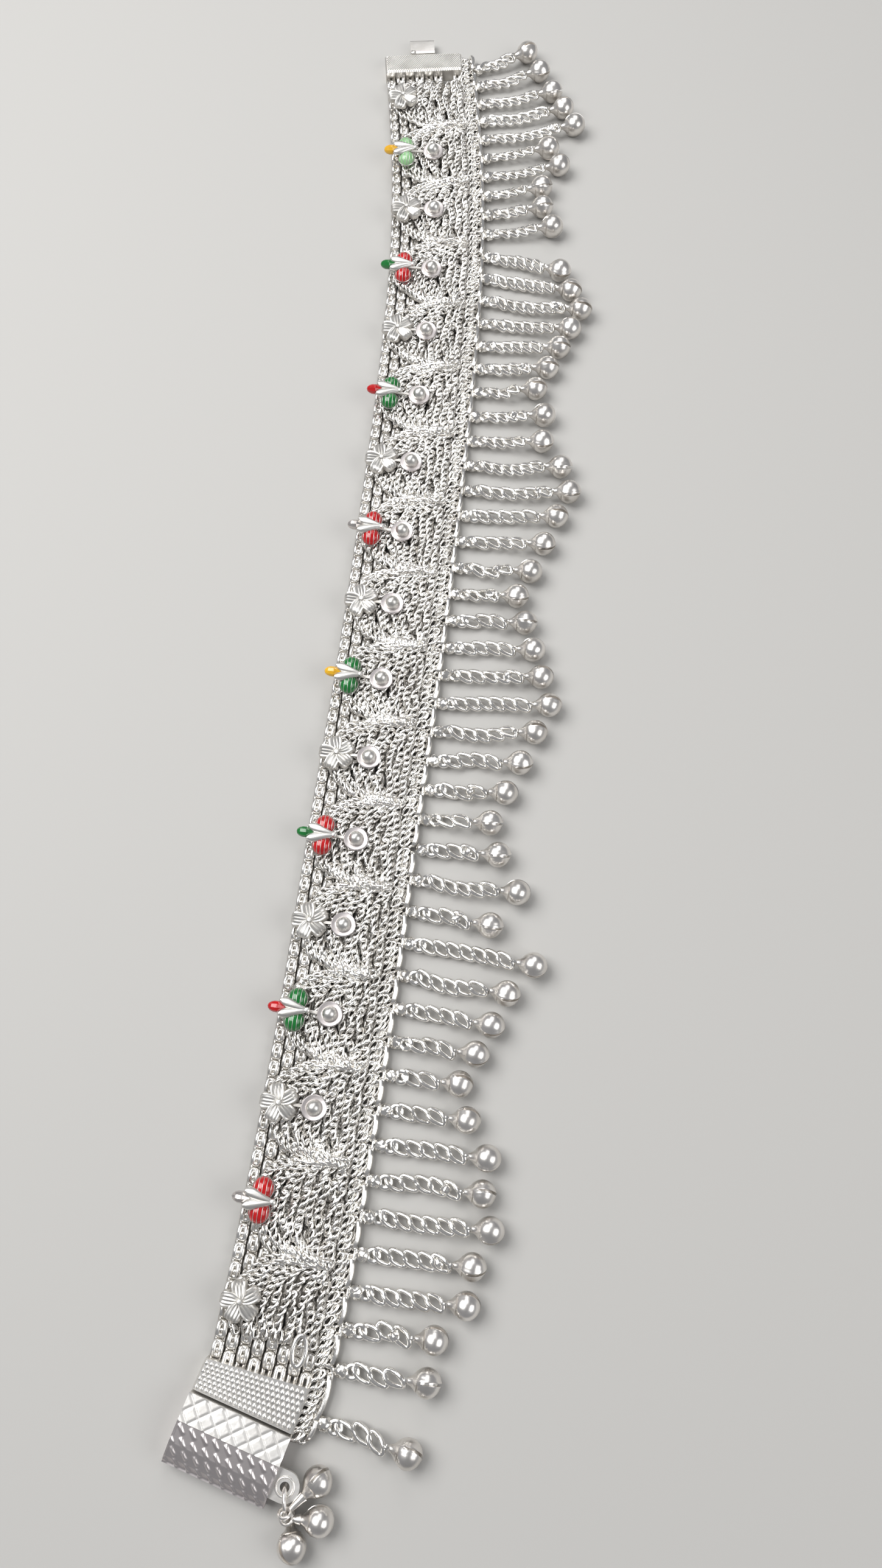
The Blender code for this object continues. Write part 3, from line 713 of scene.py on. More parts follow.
def silver(name, low, high, depth=0.5, smooth=0.18, rough=0.45, grain=1500.0, bump=0.02,
           bright=(0.95, 0.93, 0.895), dark=(0.36, 0.33, 0.29)):
    """Silver finish with painted shade that darkens it between two heights; these and the bump are in
    millimetres.
    """
    finish, tree, shader = new_finish(name)
    look = add(tree, "ShaderNodeGroup", {
        "Bright": (*bright, 1), "Dark": (*dark, 1), "Low": low * MM, "High": high * MM, "Depth": depth,
        "Patch": 260.0, "Smooth": smooth, "Rough": rough, "Grain": grain}, node_tree=PATINA_AND_SHADE)
    rise = add(tree, "ShaderNodeBump", {
        "Height": look.outputs["Height"], "Strength": 0.6, "Distance": bump * MM})
    set_inputs(tree, shader, {
        "Metallic": 1.0, "Base Color": look, "Roughness": look.outputs["Roughness"], "Normal": rise})
    return finish


def enamel(name, colour, deep, metal=0.0):
    """Glossy translucent enamel over silver, darker where it lies thick."""
    finish, tree, shader = new_finish(name)
    spot = add(tree, "ShaderNodeTexCoord").outputs["Object"]
    clouds = add(tree, "ShaderNodeTexNoise", {"Vector": spot, "Scale": 700.0, "Detail": 2.0})
    shade = add(tree, "ShaderNodeMix", {0: clouds, 6: (*colour, 1), 7: (*deep, 1)}, data_type="RGBA")
    set_inputs(tree, shader, {
        "Metallic": metal, "Coat Weight": 0.6, "Coat Roughness": 0.04, "Base Color": shade.outputs[2],
        "Roughness": ranged(tree, clouds, 0.10, 0.3)})
    return finish


PATINA_AND_SHADE = patina_and_shade_group()
# Silvers, each with the heights between which painted shade darkens it and how dark that shade gets
SILVERS = {
    "weave_silver": dict(low=0.6, high=1.3, depth=0.55, smooth=0.26),
    "fan_silver": dict(low=1.8, high=2.7),
    "drop_silver": dict(low=0.1, high=1.0),
    "bell_silver": dict(low=0.6, high=3.6, smooth=0.28, rough=0.42, bright=(0.88, 0.85, 0.815), grain=700.0,
                        bump=0.06),
    "cast_silver": dict(low=3.1, high=4.0, depth=0.6, smooth=0.36, rough=0.5, bright=(0.78, 0.765, 0.735)),
    "sheet_silver": dict(low=0.5, high=3.2, depth=0.35, smooth=0.28),
    "box_silver": dict(low=0.5, high=4.2, depth=0.2, smooth=0.40, rough=0.52, grain=900.0, bump=0.05),
    # Darker, mauve copy of the silver: painted shade, with a painted reflection of red cloth in its tint;
    # used on the box's slope, the dome collars and the tongue's fold
    "painted_shade_silver": dict(low=2.4, high=4.4, depth=0.3, smooth=0.34, rough=0.46, bright=(0.78, 0.73, 0.72),
                         dark=(0.46, 0.42, 0.42)),
}
ENAMELS = {
    "enamel_red": ((0.66, 0.004, 0.006), (0.30, 0.002, 0.003)),
    "enamel_green": ((0.006, 0.22, 0.035), (0.002, 0.09, 0.014)),
    "enamel_pale": ((0.42, 0.66, 0.38), (0.14, 0.40, 0.13)),
    "enamel_yellow": ((0.9, 0.52, 0.02), (0.62, 0.30, 0.01)),
    "enamel_clear": ((0.74, 0.70, 0.67), (0.42, 0.38, 0.36), 0.8),
}
FINISHES = {name: silver(name, **look) for name, look in SILVERS.items()}
FINISHES |= {name: enamel(name, *look) for name, look in ENAMELS.items()}
CHAIN = chain_tree()
WIRES = wire_tree()
DOTS = dots_tree()


# Woven band

def half_width(link):
    return link["Width"] / 2 + link["Wire"]


def weave_layer(height, dip, shift):
    """One layer of the weave: columns of square links, each odd one moved by half a link."""
    room = BAND_END - BAND_START - WEAVE_PITCH
    count = round(room / WEAVE_PITCH)
    pitch = room / count
    side = half_width(WEAVE_LINK)
    paths = []
    for column in range(WEAVE_COLUMNS):
        across = side + (BAND_WIDTH - 2 * side) * column / (WEAVE_COLUMNS - 1)
        odd = (column + shift) % 2
        start = BAND_START + WEAVE_PITCH / 2 - pitch / 2 * odd
        links = count + 1 + odd - (column == GAP_COLUMN)
        paths.append([place(start + pitch * i, across, height) for i in range(links)])
    return chain(paths, "weave_silver", 3 + shift, WEAVE_LINK, Pitch=pitch * PITCH_SHARE, Dip=dip)


def woven_band():
    top = weave_layer(BAND_TOP - WEAVE_LINK["Wire"], WEAVE_DIP, 0)
    # The under layer lies below the heights of the weave's painted shade, so it is painted dark: shade
    # beneath the top layer
    under = weave_layer(WEAVE_LINK["Wire"] + UNDER_LIFT, -WEAVE_DIP, 1)
    piece("woven_band_links", [top, under], "woven_band")


# Fans of fine chain

def fan_paths(index):
    """Paths of one fan's strands, from pinch to pinch, and the roll of each."""
    start, end = section_span(index)
    low, high = FAN_SHORT.get(index, (0.0, 1.0))
    half = half_width(FINE_LINK)
    draw = random.Random(500 + index)
    paths = []
    for strand in range(FAN_STRANDS):
        phase, waves = draw.uniform(0, tau), draw.uniform(*FAN_WAVES)
        share = strand / (FAN_STRANDS - 1)
        narrow = BAND_WIDTH * FAN_PINCH + FAN_PINCH_WIDTH * (share - 0.5)
        wide = FAN_INSET + half + (BAND_WIDTH - FAN_INSET - 2 * half) * share
        path = []
        for i in range(FAN_POINTS):
            run = low + (high - low) * i / (FAN_POINTS - 1)
            spread = sin(pi * run) ** FAN_RISE if 0 < run < 1 else 0.0
            lift = PINCH_LIFT * (strand % 3) * (1 - spread) ** 1.5
            height = (SWAG_BASE + SWAG_TOP) / 2 - FAN_SINK + lift
            sway = FAN_SWAY * sin(phase + waves * pi * run) * (1 - spread ** 8 * 0.4)
            across = min(narrow + (wide - narrow) * spread + sway, BAND_WIDTH - half)
            path.append(place(start + (end - start) * run, across, height))
        paths.append(path)
    return paths, [draw.uniform(-FAN_ROLL, FAN_ROLL) for path in paths]


def fan(index):
    """Fan of fine chain; the first carries the large open link."""
    paths, rolls = fan_paths(index)
    meshes = [chain(paths, "fan_silver", index, FINE_LINK, rolls)]
    if index == 0:
        along, across = OPEN_LINK_PLACE
        ahead, aside = axes_at(along)
        middle = place(along, across, SWAG_BASE + OPEN_LINK_RISE)
        meshes.append(plain(torus(middle, aside, ahead, OPEN_LINK_RADII, OPEN_LINK_WIRE), "drop_silver"))
    piece(f"fan_chains_{index + 1:02d}", meshes, f"swag_{index + 1:02d}")


# Flowers and buds

def pad(origin, line, across, length, rows, columns, width_at, height_at):
    """Closed pad from its root outwards: a row of top points at each step, over a flat underside."""
    rings = []
    for i in range(rows):
        run = sin(pi / 2 * i / (rows - 1))
        half = width_at(run)
        middle = origin + line * (length * run)
        ring = [middle - across * half]
        for j in range(columns):
            side = 2 * j / (columns - 1) - 1
            ring.append(middle + across * (half * side) + UP * height_at(run, side))
        ring.append(middle + across * half)
        rings.append(ring)
    return loft(rings)


def petal(centre, line, across):
    """Rounded petal with fine ribs along it, one side a little above the next petal."""
    def width_at(run):
        if run < PETAL_MIDDLE:
            return FLOWER_RADIUS * PETAL_HALF * (1 - 0.75 * (1 - run / PETAL_MIDDLE) ** 2)
        away = min((run - PETAL_MIDDLE) / PETAL_REST, 1.0)
        return FLOWER_RADIUS * PETAL_HALF * max(0.2, 1 - away ** 5) ** 0.4

    def height_at(run, side):
        roll = (1 - 0.7 * abs(side) ** 6) * (1 - 0.6 * run ** 10)
        rib = cos(pi * side * PETAL_RIBS) * RIB_DEPTH
        return FLOWER_HEIGHT * (0.62 + 0.12 * run + PETAL_TILT * side) * roll + rib
    return plain(pad(centre, line, across, FLOWER_RADIUS, PETAL_ROWS, PETAL_RIBS * 4 + 1,
                     width_at, height_at), "cast_silver")


def flower_meshes(centre, ahead, aside):
    meshes = []
    for number in range(FLOWER_PETALS):
        angle = tau * number / FLOWER_PETALS
        line = ahead * sin(angle) - aside * cos(angle)
        meshes.append(petal(centre, line, line.cross(UP)))
    levels = [(FLOWER_HEIGHT * rise, FLOWER_RADIUS * reach) for rise, reach in HUB_LEVELS]
    hub = rings_on(centre, UP, ahead, aside, levels, 14) + [[centre + UP * (FLOWER_HEIGHT * 0.88)]]
    return meshes + [plain(loft(hub), "cast_silver")]


def lobe_height(wide, deep):
    """Height of a lobe's dome at shares of its width and length from its middle."""
    return LOBE_HEIGHT * sqrt(max(0.0, 1 - wide * wide - deep * deep)) ** 0.9


def lobe_meshes(middle, ahead, aside, side, enamel_name):
    """Domed enamel lobe with silver ribs running out over it, in a silver rim."""
    levels = [(LOBE_HEIGHT * sin(a), (LOBE_WIDTH * cos(a), LOBE_LENGTH * cos(a)))
              for a in DOME_LIFTS]
    dome = rings_on(middle, UP, aside, ahead, levels, LOBE_SIDES) + [[middle + UP * LOBE_HEIGHT]]
    paths = []
    for rib in range(LOBE_RIBS):
        wide = -0.78 + 1.56 * rib / (LOBE_RIBS - 1)
        room = sqrt(1 - wide * wide)
        path = []
        for i in range(9):
            deep = (-0.75 + 1.72 * i / 8) * room
            spot = middle + aside * (LOBE_WIDTH * wide) + ahead * (side * LOBE_LENGTH * deep)
            path.append(spot + UP * (lobe_height(wide, deep) + LOBE_RIB_RISE))
        paths.append(path)
    rim = torus(middle + UP * LOBE_RIM_RISE, aside, ahead, (LOBE_WIDTH, LOBE_LENGTH), LOBE_RIM_WIRE,
                LOBE_SIDES, 4)
    return [plain(loft(dome), enamel_name), ribs_along(paths, LOBE_RIB_WIRE, 6, "cast_silver"),
            plain(rim, "cast_silver")]


def bud_meshes(centre, ahead, aside, tip_name, lobe_name):
    """Two enamel lobes, two leaves, a tip and the knob where the leaves meet."""
    meshes = []
    middle = centre + UP * (LOBE_HEIGHT * 0.6)
    for side in (-1, 1):
        meshes += lobe_meshes(centre + ahead * (side * LOBE_SPREAD), ahead, aside, side, lobe_name)
        line = -aside * cos(LEAF_ANGLE) + ahead * (side * sin(LEAF_ANGLE))
        root = middle + aside * LEAF_ROOT + UP * (LOBE_HEIGHT * 0.25)
        levels = [(LEAF_LENGTH * share, (LEAF_RADIUS * reach, LEAF_RADIUS * min(reach, LEAF_FLATTEST)))
                  for share, reach in LEAF_SECTIONS]
        leaf = rings_on(root, line, line.cross(UP), UP, levels, 12) + [[root + line * LEAF_LENGTH]]
        meshes.append(plain(loft(leaf), "cast_silver"))
    tip = middle - aside * TIP_PLACE
    levels = [(TIP_LENGTH * share, TIP_RADIUS * reach) for share, reach in TIP_SECTIONS]
    gem = [[tip + aside * TIP_LENGTH]] + rings_on(tip, -aside, ahead, UP, levels, 10)
    gem.append([tip - aside * TIP_LENGTH])
    foot = middle + aside * LEAF_ROOT + UP * (LOBE_HEIGHT * 0.3)
    levels = [(KNOB_HEIGHT * sin(a), KNOB_RADIUS * cos(a)) for a in (-1.4, -0.7, 0, 0.7, 1.4)]
    knob = rings_on(foot, UP, ahead, aside, levels, 12)
    return meshes + [plain(loft(gem), tip_name, 25), plain(loft(knob), "cast_silver")]


def dome_meshes(centre, ahead, aside):
    """Dome bead and its flat round collar."""
    collar = rings_on(centre, UP, ahead, aside, [
        (0.0, COLLAR_RADIUS), (COLLAR_HEIGHT * 0.8, COLLAR_RADIUS), (COLLAR_HEIGHT, COLLAR_RADIUS * 0.93),
        (COLLAR_HEIGHT * 0.7, DOME_RADIUS * 1.04)], DOME_SIDES)
    levels = [(COLLAR_HEIGHT + DOME_HEIGHT * sin(a), DOME_RADIUS * cos(a)) for a in DOME_LIFTS]
    dome = [collar[-1]] + rings_on(centre, UP, ahead, aside, levels, DOME_SIDES)
    dome.append([centre + UP * (COLLAR_HEIGHT + DOME_HEIGHT)])
    # The collar is in the darker mauve silver: painted shade round the dome's foot
    return [plain(loft(collar), "painted_shade_silver"), plain(loft(dome), "cast_silver")]


def motif(index):
    """Flower or bud of one stretch of the band, with its dome and the strip that joins them."""
    start, end = section_span(index)
    along = (start + end) / 2
    ahead, aside = axes_at(along)
    centre = place(along, MOTIF_INSET, MOTIF_BASE)
    number = index // 2 + 1
    if index % 2 == 0:
        meshes = flower_meshes(centre, ahead, aside)
        name, node, slot = f"flower_{number:02d}_petals", f"flower_{number:02d}", "silver"
    else:
        meshes = bud_meshes(centre, ahead, aside, *BUD_ENAMEL[number - 1])
        name, node = f"bud_{number:02d}_enamelled", f"enamel_bud_{number:02d}"
        slot = "enamel_red" if number % 2 else "enamel_green"
    if index not in BARE_MOTIFS:
        meshes += dome_meshes(centre + aside * DOME_PLACE, ahead, aside)
        outline = [(-STRIP_HALF, 0), (STRIP_HALF, 0), (STRIP_HALF, GAP), (-STRIP_HALF, GAP)]
        strip = loft([[spot + ahead * u + UP * z for u, z in outline]
                      for spot in (centre, centre + aside * DOME_PLACE)])
        meshes.append(plain(strip, "cast_silver"))
    piece(name, meshes, node)


# Edge chain, drops and bells

def links_of(number):
    """Links of one drop: the fringe hangs in scallops from short to long and back."""
    step = (number - LONG_DROP) % DROPS_TO_SCALLOP
    away = min(step, DROPS_TO_SCALLOP - step)
    return max(SHORTEST_LINKS, LONGEST_LINKS - away + ODD_DROPS.get(number, 0))


def bell_meshes(centre, line, tilt):
    """Ghungroo bell: a ball with a slot round its far side, a pear neck and a small loop."""
    across = line.cross(UP).normalized()
    over = across.cross(line)
    normal = across * cos(tilt) + over * sin(tilt)
    other = line.cross(normal)
    rings = [[centre - normal * BALL_RADIUS]]
    for latitude, stand in BELL_BANDS:
        angle = radians(latitude)
        ring = []
        for i in range(BELL_TURNS):
            turn = tau * i / BELL_TURNS
            stands = stand > -0.1 or cos(turn) > SLOT_END
            out = line * cos(turn) + other * sin(turn)
            out = out * cos(angle) + normal * sin(angle)
            ring.append(centre + out * (BALL_RADIUS * (1 + stand * stands)))
        rings.append(ring)
    rings.append([centre + normal * BALL_RADIUS])
    levels = [(BELL_RADIUS * away, BELL_RADIUS * reach) for away, reach in BELL_SHOULDER]
    neck = loft(rings_on(centre, line, across, over, levels, 14))
    loop = torus(centre - line * (BELL_RADIUS * LOOP_BACK), line, over, BELL_LOOP, BELL_LOOP_WIRE, 14, 6)
    return [plain(loft(rings), "bell_silver", 50), plain(neck, "bell_silver"), plain(loop, "drop_silver")]


def lump(centre, radius, seed):
    """Small uneven lump of solder."""
    body = bmesh.new()
    bmesh.ops.create_icosphere(body, subdivisions=3, radius=radius)
    draw = random.Random(seed)
    for vertex in body.verts:
        vertex.co = vertex.co * (1 + draw.uniform(-0.13, 0.07)) + centre
    return plain(body, "drop_silver", 30)


def long_link(middle, half):
    """Long link on edge, bowed away from the band."""
    rings = []
    for i in range(LONG_LINK_SIDES):
        turn = tau * i / LONG_LINK_SIDES
        run = copysign(abs(cos(turn)) ** LONG_LINK_SQUARE, cos(turn))
        rise = copysign(abs(sin(turn)) ** LONG_LINK_SQUARE, sin(turn))
        ahead, aside = axes_at(middle + half * run)
        out = (ahead * cos(turn) + UP * sin(turn)).normalized()
        spot = place(middle + half * run, EDGE_OUTER + LONG_LINK_BOW * (0.6 - run * run),
                     EDGE_HEIGHT / 2 + LONG_LINK_RISE * rise)
        rings.append(ring_points(spot, out, aside, ROOT_LINK["Wire"], 8))
    return plain(loft(rings, closed=True), "drop_silver")


def edge_links(section, start, end, count):
    """Edge chain between two places: open links at the drops, long links on edge between them, and
    lengths of fine chain that tie them to the band."""
    step = (end - start) / count
    roots = [place(start + step * (i + 0.5), EDGE_PLACE, EDGE_HEIGHT / 2) for i in range(count)]
    meshes = [chain([roots], "drop_silver", section, ROOT_LINK, Pitch=step * ROOT_PITCH_SHARE)]
    half = step / 2 - LONG_LINK_GAP
    for i in range(count + (end > EDGE_RUN - EDGE_LEAD - GAP)):
        meshes.append(long_link(max(start + step * i, half - EDGE_LEAD), half))
    draw = random.Random(section)
    ties, rolls = [], []
    for across, height, roll in TIES:
        for i in range(count + 1):
            low = max(start + step * (i - 0.5) + HOLE_ROOM, start)
            high = min(start + step * (i + 0.5) - HOLE_ROOM, end)
            out = BAND_WIDTH + across + draw.uniform(-0.12, 0.12) * MM
            ties.append([place(low + (high - low) * share, out, height) for share in (0.0, 0.5, 1.0)])
            rolls.append(roll + draw.uniform(-0.3, 0.3))
    return meshes + [chain(ties, "drop_silver", 80 + section, FINE_LINK, rolls, Wobble=TIE_WOBBLE)]


def drop_meshes(number, draw):
    """Solder lump, jump ring, curb chain and bell of one drop: the chain's meshes and the bell's."""
    along = drop_place(number + 0.5)
    ahead, aside = axes_at(along)
    lean = radians(between(DROP_LEAN, number))
    line = aside * cos(lean) + ahead * sin(lean)
    across = line.cross(UP)
    foot = place(along, EDGE_PLACE, 0)
    wire = CURB_LINK["Wire"]
    reach = EDGE_WIDTH / 2 + LINK_PITCH * links_of(number) + BELL_RADIUS * BELL_REACH
    bow = draw.uniform(-0.5, 0.5) * MM
    roll = draw.uniform(-0.35, 0.35)
    over = UP * cos(roll) + across * sin(roll)
    jump = torus(foot + line * JUMP_PLACE + UP * JUMP_HEIGHT, line, over.cross(line),
                 JUMP_RADIUS, wire, 20, 8)
    meshes = [lump(foot + line * ROOT_LUMP_PLACE + UP * ROOT_LUMP_HEIGHT, ROOT_LUMP_RADIUS, number),
              plain(jump, "drop_silver")]
    start = JUMP_PLACE + JUMP_RADIUS - 2 * wire
    end = reach - BELL_RADIUS * LOOP_BACK - BELL_LOOP + BELL_LOOP_WIRE + wire
    room = end - start - LINK_OVERLAP
    shrink = 1 - FAR_SHRINK * number / DROPS
    links = round(room / (CURB_PITCH * shrink))
    length = room / links + LINK_OVERLAP
    first, last = start + length / 2, end - length / 2
    path = []
    for i in range(links):
        run = i / (links - 1)
        height = JUMP_HEIGHT + (BELL_RADIUS - LAST_LINK_DROP - JUMP_HEIGHT) * run ** 3
        path.append(foot + line * (first + (last - first) * run) + across * (bow * sin(pi * run))
                    + UP * height)
    pitch = sum((far - near).length for near, far in zip(path, path[1:])) / (links - 1)
    meshes.append(chain([path], "drop_silver", 40 + number, CURB_LINK, [roll], Pitch=pitch * PITCH_SHARE,
                        Length=length, Width=CURB_LINK["Width"] * shrink))
    if draw.random() < LUMPY_SHARE:
        meshes.append(lump(path[-1] - line * draw.uniform(0.0, 1.2) * MM, LUMP_RADIUS, 90 + number))
    return meshes, bell_meshes(foot + line * reach + UP * BELL_RADIUS, line, draw.uniform(-1.2, 1.2))


def fringe(section, first, last):
    """A stretch of the edge chain with its drops and bells."""
    chains = edge_links(section, drop_place(first), drop_place(last), last - first)
    draw = random.Random(100 + section)
    bells = []
    for number in range(first, last):
        drop, bell = drop_meshes(number, draw)
        chains += drop
        bells += bell
    node = f"fringe_{section + 1:02d}"
    piece(f"{node}_chains", chains, node)
    piece(f"{node}_bells", bells, node)


# Bars, tongue and clasp

def along_route(outline, places):
    """Body whose outline, in distances across and heights, is set at places along the route."""
    return loft([[place(along, across, z) for across, z in outline] for along in places])


def block(along, across, height):
    """Block between two distances along the route, two across it and two heights."""
    (left, right), (low, high) = across, height
    return along_route([(left, low), (right, low), (right, high), (left, high)], along)


def bar_across(start, end, height):
    """Bar across the band with its upper edges broken."""
    outline = [(BAR_LEFT, 0), (BAR_RIGHT, 0), (BAR_RIGHT, height - BAR_BEVEL),
               (BAR_RIGHT - BAR_BEVEL, height), (BAR_LEFT + BAR_BEVEL, height),
               (BAR_LEFT, height - BAR_BEVEL)]
    return plain(along_route(outline, (start, end)), "sheet_silver")


def end_bar():
    """End bar with rows of dots that turn with its two ends."""
    ends = (-BAR_LENGTH / 2, BAR_LENGTH / 2)
    top = BAR_TOP - DOT_HEIGHT
    dots = grown(bpy.data.meshes.new("ground"), DOTS, "sheet_silver", **{
        "Columns": DOT_COLUMNS, "Rows": DOT_ROWS, "Step": DOT_STEP, "Deep Step": DOT_ROW_STEP,
        "Radius": DOT_RADIUS, "Height": DOT_HEIGHT})
    for vertex in dots.vertices:
        across, along, height = vertex.co
        back, front = [place(end, BAND_MIDDLE + across, top + height) for end in ends]
        vertex.co = back.lerp(front, along / BAR_LENGTH + 0.5)
    piece("end_bar_dotted", [bar_across(*ends, top), dots], "end_bar")


def clipped(low, high, start, depth):
    """Ends of a slanting rib inside a bar: place across and share of the bar's depth."""
    ends = []
    for share in (0.0, 1.0):
        across = min(max(start + RIB_SLOPE * depth * share, low), high)
        ends.append((across, (across - start) / (RIB_SLOPE * depth)))
    return ends if ends[0][1] < ends[1][1] - 0.05 else None


def tongue_bar():
    """Bar with slanting ribs and a row of short teeth along its inner edge."""
    start = ROUTE_LENGTH - TONGUE_BAR_LENGTH / 2
    end = ROUTE_LENGTH + TONGUE_BAR_LENGTH / 2
    left, right = BAR_LEFT + BAR_BEVEL, BAR_RIGHT - BAR_BEVEL
    top = TONGUE_BAR_TOP - RIB_SINK
    depth = TONGUE_BAR_LENGTH - TOOTH_LENGTH
    ribs = []
    run = BAR_LEFT - RIB_SLOPE * depth
    while run < BAR_RIGHT:
        ends = clipped(left, right, run, depth)
        if ends:
            ribs.append([place(start + TOOTH_LENGTH + depth * share, across, top) for across, share in ends])
        run += RIB_STEP
    teeth = []
    run = left
    while run < right:
        teeth.append([place(start + 0.05 * MM, run, top - 0.05 * MM),
                      place(start + TOOTH_LENGTH - 0.1 * MM, run, top)])
        run += RIB_STEP
    piece("tongue_bar_ribbed", [
        bar_across(start, end, top), ribs_along(ribs, RIB_RADIUS, 8, "sheet_silver"),
        ribs_along(teeth, TOOTH_RADIUS, 6, "sheet_silver")], "tongue_bar")


def tongue():
    """Folded leaf spring: one strip bent back on itself, with a curl, a lip, and a thin dark strip near its
    root that is painted shade along the fold.
    """
    end = ROUTE_LENGTH + TONGUE_BAR_LENGTH / 2
    low = (TONGUE_BAR_TOP - LEAF_SPRING) / 2
    high = low + LEAF_SPRING
    root = end - TONGUE_ROOT
    bend = LEAF_SPRING / 2
    turn = end + TONGUE_REACH - bend
    sides = (BAND_MIDDLE - TONGUE_WIDTH / 2, BAND_MIDDLE + TONGUE_WIDTH / 2)

    def bent(radius, angles):
        return [(turn + radius * sin(a), low + bend + radius * cos(a)) for a in angles]
    outline = [(root, high), (turn, high)] + bent(bend, BEND_ANGLES)
    outline += [(turn, low), (root, low), (root, low + LEAF_SHEET), (turn, low + LEAF_SHEET)]
    outline += bent(bend - LEAF_SHEET, BEND_ANGLES[::-1])
    outline += [(turn, high - LEAF_SHEET), (root, high - LEAF_SHEET)]
    strip = loft([[place(along, across, z) for along, z in outline] for across in sides])
    curl_place = end + CURL_PLACE
    curl = loft([ring_points(place(curl_place, sides[0] + out, high + 0.1 * MM), axes_at(end)[0], UP,
                             (CURL_RADIUS * CURL_FLATNESS * wide, CURL_RADIUS * wide), 16)
                 for out, wide in CURL_SECTIONS])
    # The second block is a thin strip in the darker silver: painted shade along the fold line
    lip, fold_shade_strip = [
        block((curl_place + near * MM, curl_place + far * MM), sides, (high - 0.05 * MM, high + top * MM))
        for near, far, top in ((-0.25, 0.35, 0.15), (0.35, 0.75, 0.02))]
    piece("tongue_leaf", [plain(body, "sheet_silver") for body in (strip, curl, lip)]
          + [plain(fold_shade_strip, "painted_shade_silver")], "tongue")


def box_profile(inset):
    """Side outline of the clasp box, drawn in by a wall: distance out from its back, height."""
    front = BOX_LENGTH - inset
    slope = BOX_RIDGE - BOX_FRONT
    return [(inset, inset), (front, inset), (front, BOX_FRONT - inset * 1.4),
            (BOX_LENGTH * 0.9 - inset * 0.6, BOX_FRONT + slope * 0.42 - inset),
            (BOX_LENGTH * 0.7, BOX_FRONT + slope * 0.82 - inset),
            (BOX_LENGTH * BOX_RIDGE_PLACE, BOX_RIDGE - inset), (inset, BOX_BACK - inset)]


def carved(body, tools):
    """The body with the others cut from it."""
    items = []
    for item in [body] + tools:
        mesh = bpy.data.meshes.new("item")
        item.to_mesh(mesh)
        item.free()
        items.append(show("item", mesh))
    for cutter in items[1:]:
        step = items[0].modifiers.new("cut", "BOOLEAN")
        step.operation = "DIFFERENCE"
        step.solver = "EXACT"
        step.object = cutter
    result = bmesh.new()
    result.from_mesh(plain_copy(items[0]))
    for item in items:
        bpy.data.objects.remove(item)
    return result


def box_relief(distance, across):
    """Relief of the box: pillows between crossing grooves on top, rows of slanting ridges on the slope."""
    if distance < BOX_RIDGE_REACH:
        grooves = [abs(sin(pi * turn / LATTICE_CELL))
                   for turn in (distance + across, distance - across)]
        return LATTICE_DEPTH * (min(1.0, LATTICE_STEEPNESS * min(grooves)) - 1)
    distance -= BOX_RIDGE_REACH
    row = distance // DASH_ROW
    down = distance - DASH_ROW * (row + 0.5)
    aside = (across + DASH_STEP / 2 * (row % 2)) % DASH_STEP - DASH_STEP / 2
    along = (down + aside) / sqrt(2)
    off = (down - aside) / sqrt(2)
    edge = max(abs(along) * 2 / DASH_LENGTH, abs(off) * 2 / DASH_WIDTH)
    return DASH_DEPTH * (max(0.0, 1.0 - edge ** 2) - 1)


def box_outline():
    """Points of the embossed part of the box's outline, close together, with their normals."""
    corners = [(0.0, BOX_BACK)] + box_profile(0.0)[-2:1:-1]
    points = []
    for (out, height), (next_out, next_height) in zip(corners, corners[1:]):
        span = hypot(next_out - out, next_height - height)
        count = max(1, round(span / LATTICE_STEP))
        normal = ((height - next_height) / span, (next_out - out) / span)
        for i in range(count):
            share = i / count
            points.append((out + (next_out - out) * share, height + (next_height - height) * share, normal))
    return points + [(*corners[-1], (1.0, 0.0))]


def embossed_box():
    """Outer skin of the clasp box with the lattice pressed into its top and slope."""
    profile = box_outline()
    columns = round((BAR_RIGHT - BAR_LEFT) / LATTICE_STEP)
    rings = []
    for j in range(columns + 1):
        across = BAR_LEFT + (BAR_RIGHT - BAR_LEFT) * j / columns
        edge = min(j, columns - j)
        ring = []
        distance = 0.0
        for number, (out, height, normal) in enumerate(profile):
            if number:
                distance += hypot(out - profile[number - 1][0], height - profile[number - 1][1])
            soft = min(1.0, edge / 2, number / 2, (len(profile) - 1 - number) / 2)
            rise = box_relief(distance, across) * soft
            ring.append(place(BOX_START - out - normal[0] * rise, across, height + normal[1] * rise))
        ring.append(place(BOX_START - BOX_LENGTH, across, 0))
        ring.append(place(BOX_START, across, 0))
        rings.append(ring)
    return loft(rings)


